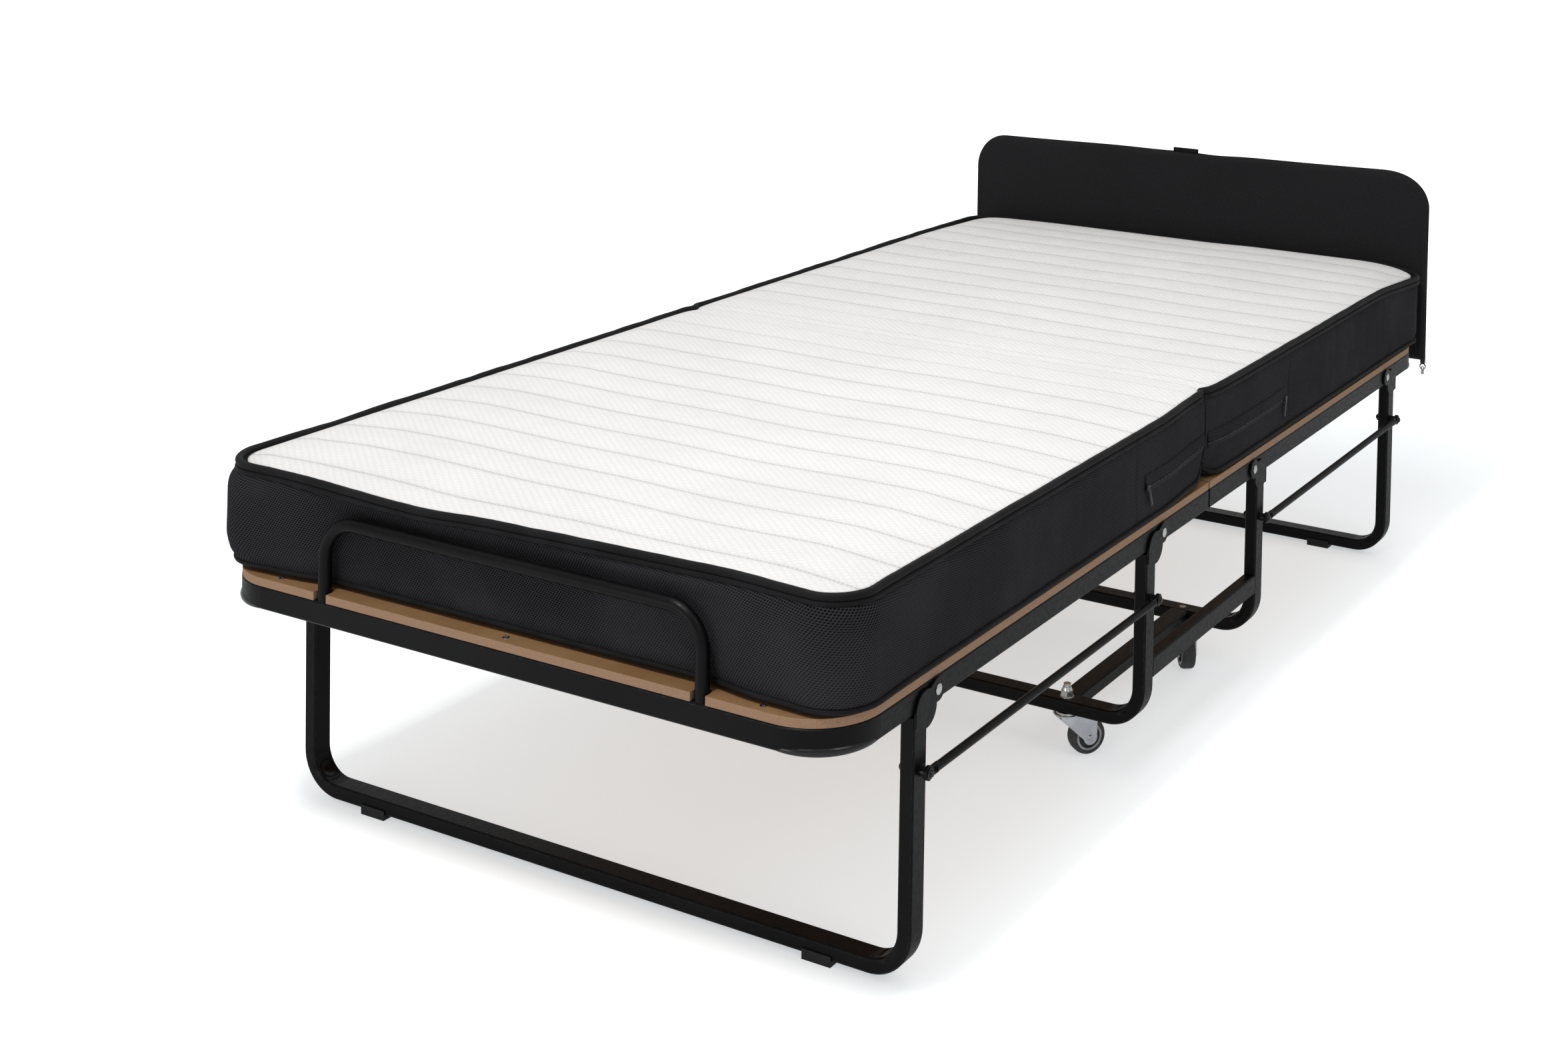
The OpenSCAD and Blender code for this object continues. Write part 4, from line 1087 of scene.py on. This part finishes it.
def headboard():
    """Thin board in a loose sewn cover: the corners slump and the top edge waves."""
    xm, half_t = (hx0 + hx1) / 2, (hx1 - hx0) / 2

    def top(y):
        """Upper edge, right corner (negative y) softer than the left."""
        y = np.asarray(y, float)
        rl, rr_w, rr_h = 62.0, 90.0, 66.0
        zt = hz1 + 1.0 - 5.0 * y / hw - 2.6 * np.exp(-((y + 40) / 45.0) ** 2) - 1.4 * np.exp(-((y - 75) / 60.0) ** 2) \
            + 1.0 * np.sin(y / 92.0 + 0.6) * 0.8
        tl = np.clip((y - (hw * HB_WIDE - rl)) / rl, 0, 1)
        tr = np.clip((-y - (hw * 1.006 - rr_w)) / rr_w, 0, 1)
        zt = zt - rl * (1 - np.sqrt(np.clip(1 - tl ** 2.1, 0, 1)))
        zt = zt - rr_h * (1 - np.clip(1 - tr ** 2.35, 0, 1) ** (1 / 2.1))
        return zt

    # columns across, denser at the ends; rows from the hem to the top edge
    t = np.linspace(-1, 1, 150)
    ys = hw * np.sign(t) * (1 - (1 - np.abs(t)) ** 1.9) * np.where(t > 0, HB_WIDE, 1.006)
    ys = np.unique(np.round(ys, 3))
    fr = np.concatenate([[0, 0.004, 0.012, 0.03], np.linspace(0.07, 0.93, 44), [0.96, 0.978, 0.99, 0.996, 1.0]])
    Y, Fz = np.meshgrid(ys, fr)
    zt = top(Y)
    hem = hz0 + 1.2 + 0.8 * np.sin(Y / 130.0 + 1.0)
    Z = hem + (zt - hem) * Fz
    side_in = 1.6 * np.sin(np.clip((Z - hz0) / (hz1 - hz0), 0, 1) * math.pi) * np.sign(Y) * np.clip(np.abs(Y) / hw, 0, 1) ** 6
    Y = Y - side_in
    # distance in from the outline
    edge = top(ys)
    oy = np.concatenate([ys, [ys[-1]] * 30, ys[::-1], [ys[0]] * 30])
    oz = np.concatenate([edge, np.linspace(edge[-1], hz0 + 1.2, 30), np.full(len(ys), hz0 + 1.2), np.linspace(hz0 + 1.2, edge[0], 30)])
    d = np.full(Y.shape, 1e9)
    P = np.stack([oy, oz], 1)
    for i in range(len(P)):
        a, b = P[i], P[(i + 1) % len(P)]
        ab = b - a
        L2 = float(ab @ ab)
        if L2 < 1e-9:
            continue
        tt = np.clip(((Y - a[0]) * ab[0] + (Z - a[1]) * ab[1]) / L2, 0, 1)
        d = np.minimum(d, np.hypot(Y - a[0] - tt * ab[0], Z - a[1] - tt * ab[1]))
    on = np.zeros(Y.shape, bool)
    on[0, :] = on[-1, :] = True
    on[:, 0] = on[:, -1] = True
    d[on] = 0
    R = 9.0
    q = np.clip(d / R, 0, 1)
    T = (half_t - 2.0) * np.sqrt(np.clip(1 - (1 - q) ** 2, 0, 1))
    crown = 1.1 * smooth01(d / 90.0)
    wr = 0.55 * nz(Y / 120.0, Z / 80.0, 4.0) + 0.28 * nz(Y / 34.0, Z / 60.0, 9.0)
    pull = 0.7 * np.exp(-((Y + 10) / 60.0) ** 2) * np.sin(Z / 26.0) * smooth01((Z - 520) / 60)
    inner = smooth01(d / 22.0)
    front = -(T + (crown + wr + pull) * inner)
    back = T + (crown + 0.6 * wr) * inner
    seam = -0.9 * np.exp(-((d - 11.5) / 1.4) ** 2)
    front = front - seam
    back = back + seam
    front = np.clip(front, -half_t - 1.6, 0)
    back = np.clip(back, 0, half_t + 0.4)
    nr, nc = Y.shape
    V1 = np.stack([xm + front, Y, Z], -1).reshape(-1, 3)
    V2 = np.stack([xm + back, Y, Z], -1).reshape(-1, 3)
    F = grid_faces(nr, nc)
    base = nr * nc
    back_id = np.arange(base) + base
    onf = on.ravel()
    back_id[onf] = np.arange(base)[onf]
    for qd in grid_faces(nr, nc):
        g = tuple(int(back_id[k]) for k in reversed(qd))
        if len(set(g)) == 4:
            F.append(g)
        elif len(set(g)) == 3:
            F.append(tuple(dict.fromkeys(g)))
    V = np.vstack([V1, V2])
    used = np.unique(np.concatenate([np.array(q_) for q_ in F]))
    remap = -np.ones(len(V), int)
    remap[used] = np.arange(len(used))
    V = V[used]
    F = [tuple(int(remap[k]) for k in q_) for q_ in F]
    uv = np.stack([V[:, 1] * 0.001, V[:, 2] * 0.001], 1)
    o = make("headboard_cover", V, F, MAT["upholstery_black"], uv)
    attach(o, "head_deck")
    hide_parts("headboard_panel")
    # sewn edge seam, a thin cord round the outline
    path = np.concatenate([np.stack([np.full(len(ys), xm), ys * 0.9985, edge - 0.3], 1)])
    lo_r = np.stack([np.full(24, xm), np.full(24, ys[0] * 0.9985), np.linspace(hz0 + 3, edge[0] - 0.5, 24)], 1)
    lo_l = np.stack([np.full(24, xm), np.full(24, ys[-1] * 0.9985), np.linspace(edge[-1] - 0.5, hz0 + 3, 24)], 1)
    side_fix = lambda a: np.sin(np.clip((a[:, 2] - hz0) / (hz1 - hz0), 0, 1) * math.pi) * 1.6
    lo_r[:, 1] += side_fix(lo_r)
    lo_l[:, 1] -= side_fix(lo_l)
    full = np.vstack([lo_r, path[2:-2], lo_l])
    seg = np.concatenate([[0], np.cumsum(np.linalg.norm(np.diff(full, axis=0), axis=1))])
    tt = np.linspace(0, seg[-1], 320)
    full = np.stack([np.interp(tt, seg, full[:, k]) for k in range(3)], 1)
    v, f, u = sweep(full, 1.5, 8)
    o = make("headboard_edge_seam", v, f, MAT["tape"], u)
    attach(o, "head_deck")
    return top


hb_top = headboard()

# pressed lip along the lower outside of each frame corner
for side, tag, body in ((-1, "foot", "foot_deck"), (1, "head", "head_deck")):
    for left in (False, True):
        th = np.linspace(-0.12, math.pi / 2 + 0.12, 40)
        sgn = 1.0 if left else -1.0
        R = 77.2
        f = np.clip((th + 0.12) / (math.pi / 2 + 0.24), 0, 1)
        bulge = np.sin(f * math.pi) ** 0.55
        x = CX + side * (869.0 + R * np.sin(th))
        y = sgn * (369.0 + R * np.cos(th))
        z = np.full_like(x, 307.2) - 0.8 * bulge
        v, fc, u = sweep(np.stack([x, y, z], 1), 1.2 + 4.6 * bulge, 14)
        o = make(f"{tag}_frame_lip_{'l' if left else 'r'}", v, fc, MAT["frame_lip"], u)
        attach(o, body)

# the headboard zip: dark slider, bright ring
zm = Nodes("zip_slider")
zc = zm.sep(zm.obj())[2]
dark = zm.ramp(zc, 0.2866, 0.2874)
zf = zm.noise(500.0, 2.0, zm.obj())
zm.set(Base_Color=zm.mix(dark, (0.62, 0.62, 0.61), (0.006, 0.006, 0.006)), Metallic=zm.math("SUBTRACT", 1.0, dark),
       Roughness=zm.ramp(zf, 0.3, 0.7, 0.22, 0.36), Normal=zm.bump(zf, 0.1, 0.0002, zm.bevel(0.0005)))
for ms in NODES["headboard_zip_pull"].material_slots:
    ms.material = zm.mat

# folded webbing seen inside the loop on the headboard's top edge
lo_, hi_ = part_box("headboard_loop")
web = bevel_box("headboard_loop_fold", (5.0, 41.8, 3.7), MAT["tape"], 0.4, 2)
web.location = ((lo_.x + hi_.x) / 2, (lo_.y + hi_.y) / 2, lo_.z + 0.00395)
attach(web, "head_deck")

# ------------------------------------------------------------------ camera, light and floor
cam_data = bpy.data.cameras.new("camera")
cam = bpy.data.objects.new("camera", cam_data)
bpy.context.scene.collection.objects.link(cam)
bpy.context.scene.camera = cam
yaw, pitch, roll = 0.5068, -0.0436, 0.0185
F_ = Vector((math.cos(pitch) * math.cos(yaw), math.cos(pitch) * math.sin(yaw), math.sin(pitch)))
R0 = Vector((math.sin(yaw), -math.cos(yaw), 0.0))
U0 = R0.cross(F_)
R_ = R0 * math.cos(roll) + U0 * math.sin(roll)
U_ = -R0 * math.sin(roll) + U0 * math.cos(roll)
cam.matrix_world = Matrix(((R_.x, U_.x, -F_.x, -2.80649), (R_.y, U_.y, -F_.y, -1.61649),
                           (R_.z, U_.z, -F_.z, 1.29524), (0, 0, 0, 1)))
cam_data.sensor_width = 36.0
cam_data.lens = 3283.39 * 36.0 / 2352
cam_data.clip_start, cam_data.clip_end = 0.05, 200
SHIFT_X, SHIFT_Y = -(1470.46 - 1176.0) / 2352, (-169.35 - 784.0) / 2352
cam_data.shift_x, cam_data.shift_y = SHIFT_X, SHIFT_Y
# The lens is shifted only while the camera stands at its own mark, and it rises with the folding decks so that
# the folded bed stays in the picture.
mark = bpy.data.objects.new("camera_mark", None)
mark.location = cam.matrix_world.translation
bpy.context.scene.collection.objects.link(mark)


def driven(owner, path, kind, sources, keys):
    fc = owner.driver_add(path)
    for mod in list(fc.modifiers):
        fc.modifiers.remove(mod)
    while len(fc.keyframe_points):
        fc.keyframe_points.remove(fc.keyframe_points[0])
    for kx, kv in keys:
        k = fc.keyframe_points.insert(kx, kv)
        k.interpolation = "LINEAR"
    fc.extrapolation = "CONSTANT" if keys else "LINEAR"
    d = fc.driver
    d.type = kind
    for name, typ, tgt in sources:
        v = d.variables.new()
        v.name = name
        v.type = typ
        if typ == "LOC_DIFF":
            v.targets[0].id, v.targets[1].id = tgt
        elif typ == "TRANSFORMS":
            v.targets[0].id = tgt[0]
            v.targets[0].transform_type = tgt[1]
            v.targets[0].transform_space = "WORLD_SPACE"
        else:
            v.targets[0].id = tgt[0]
            v.targets[0].data_path = tgt[1]


for key in ("at_mark", "rise", "lift", "base"):
    mark[key] = 0.0
near = [("d", "LOC_DIFF", (cam, mark))]
driven(mark, '["at_mark"]', "SUM", near, [(0.0, 1.0), (0.1, 1.0), (0.2, 0.0)])
driven(mark, '["base"]', "SUM", near, [(0.0, SHIFT_Y), (0.1, SHIFT_Y), (0.2, 0.0)])
driven(mark, '["rise"]', "SUM", [("x", "TRANSFORMS", (frame["bodies"]["foot_deck"], "LOC_X"))], [(-0.495, 0.15), (0.0, 0.0)])
driven(mark, '["lift"]', "MIN", [("a", "SINGLE_PROP", (mark, '["at_mark"]')), ("b", "SINGLE_PROP", (mark, '["rise"]'))], [])
driven(cam_data, "shift_x", "SUM", near, [(0.0, SHIFT_X), (0.1, SHIFT_X), (0.2, 0.0)])
driven(cam_data, "shift_y", "SUM", [("a", "SINGLE_PROP", (mark, '["base"]')), ("b", "SINGLE_PROP", (mark, '["lift"]'))], [])


def area(name, loc, target, size, energy, color=(1, 1, 1), size_y=None):
    d = bpy.data.lights.new(name, "AREA")
    d.shape = "RECTANGLE"
    d.size, d.size_y = size, size_y or size
    d.energy = energy
    d.color = color
    o = bpy.data.objects.new(name, d)
    o.location = loc
    o.rotation_mode = "QUATERNION"
    o.rotation_quaternion = (Vector(target) - Vector(loc)).to_track_quat("-Z", "Y")
    bpy.context.scene.collection.objects.link(o)
    return o


key = area("key", (-1.1, -2.3, 2.5), (-0.25, -0.15, 0.45), 1.2, 1.5)
key.data.spread = math.radians(62)
area("top", (-2.5, 0.0, 4.3), (-0.2, 0.0, 0.3), 0.6, 101)
area("soft", (-0.35, -0.35, 2.4), (-0.3, -0.2, 0.5), 1.3, 18.5)
area("rim", (3.4, 2.0, 2.2), (0, 0, 0.4), 2.0, 7)
low = area("low", (-4.0, 0.9, 0.55), (-0.8, 0.1, 0.35), 1.5, 20)
low.visible_camera = False
world = bpy.data.worlds.new("studio")
bpy.context.scene.world = world
world.use_nodes = True
wn = world.node_tree
bg = wn.nodes["Background"]
path_ = wn.nodes.new("ShaderNodeLightPath")
val_ = wn.nodes.new("ShaderNodeMapRange")
wn.links.new(path_.outputs["Is Camera Ray"], val_.inputs["Value"])
val_.inputs["To Min"].default_value = 0.50
val_.inputs["To Max"].default_value = 1.05
bg.inputs[0].default_value = (1.0, 1.0, 1.0, 1)
wn.links.new(val_.outputs[0], bg.inputs[1])

fm = Nodes("floor")
c = fm.obj()
fx, fy = fm.sep(c)[0:2]
# painted shade: the floor glows weakest within 1.25 m of the middle and fully from 2.6 m out, so a broad shade pool
# lies round the bed, tinted cooler there
away = fm.ramp(fm.math("SQRT", fm.math("ADD", fm.math("MULTIPLY", fx, fx), fm.math("MULTIPLY", fy, fy))), 1.25, 2.6)
lp = fm.n("ShaderNodeLightPath").outputs["Is Glossy Ray"]
fcol = fm.mix(fm.ramp(fm.noise(1.5, 2.0, c), 0.3, 0.7), (0.75, 0.77, 0.785), (0.77, 0.79, 0.805))
# painted reflection: glossy rays see the floor darker and glowing less, so the black parts reflect a dimmer floor
fcol = fm.mix(fm.math("MULTIPLY", lp, 0.55), fcol, (0.10, 0.10, 0.10))
dimmed = fm.math("SUBTRACT", 1.0, fm.math("MULTIPLY", lp, 0.55))
fm.set(Base_Color=fcol, Roughness=0.9,
       Specular_IOR_Level=0.1, Emission_Color=fm.mix(away, (0.955, 0.982, 1.0), (1, 1, 1)), Emission_Strength=fm.math("MULTIPLY", dimmed, fm.math("ADD", fm.math("MULTIPLY", away, 0.32), 0.53)))
me = bpy.data.meshes.new("floor")
me.from_pydata([(-40, -40, 0), (40, -40, 0), (40, 40, 0), (-40, 40, 0)], [], [(0, 1, 2, 3)])
floor = bpy.data.objects.new("floor", me)
bpy.context.scene.collection.objects.link(floor)
me.materials.append(fm.mat)
bpy.context.scene.view_settings.view_transform = "Standard"
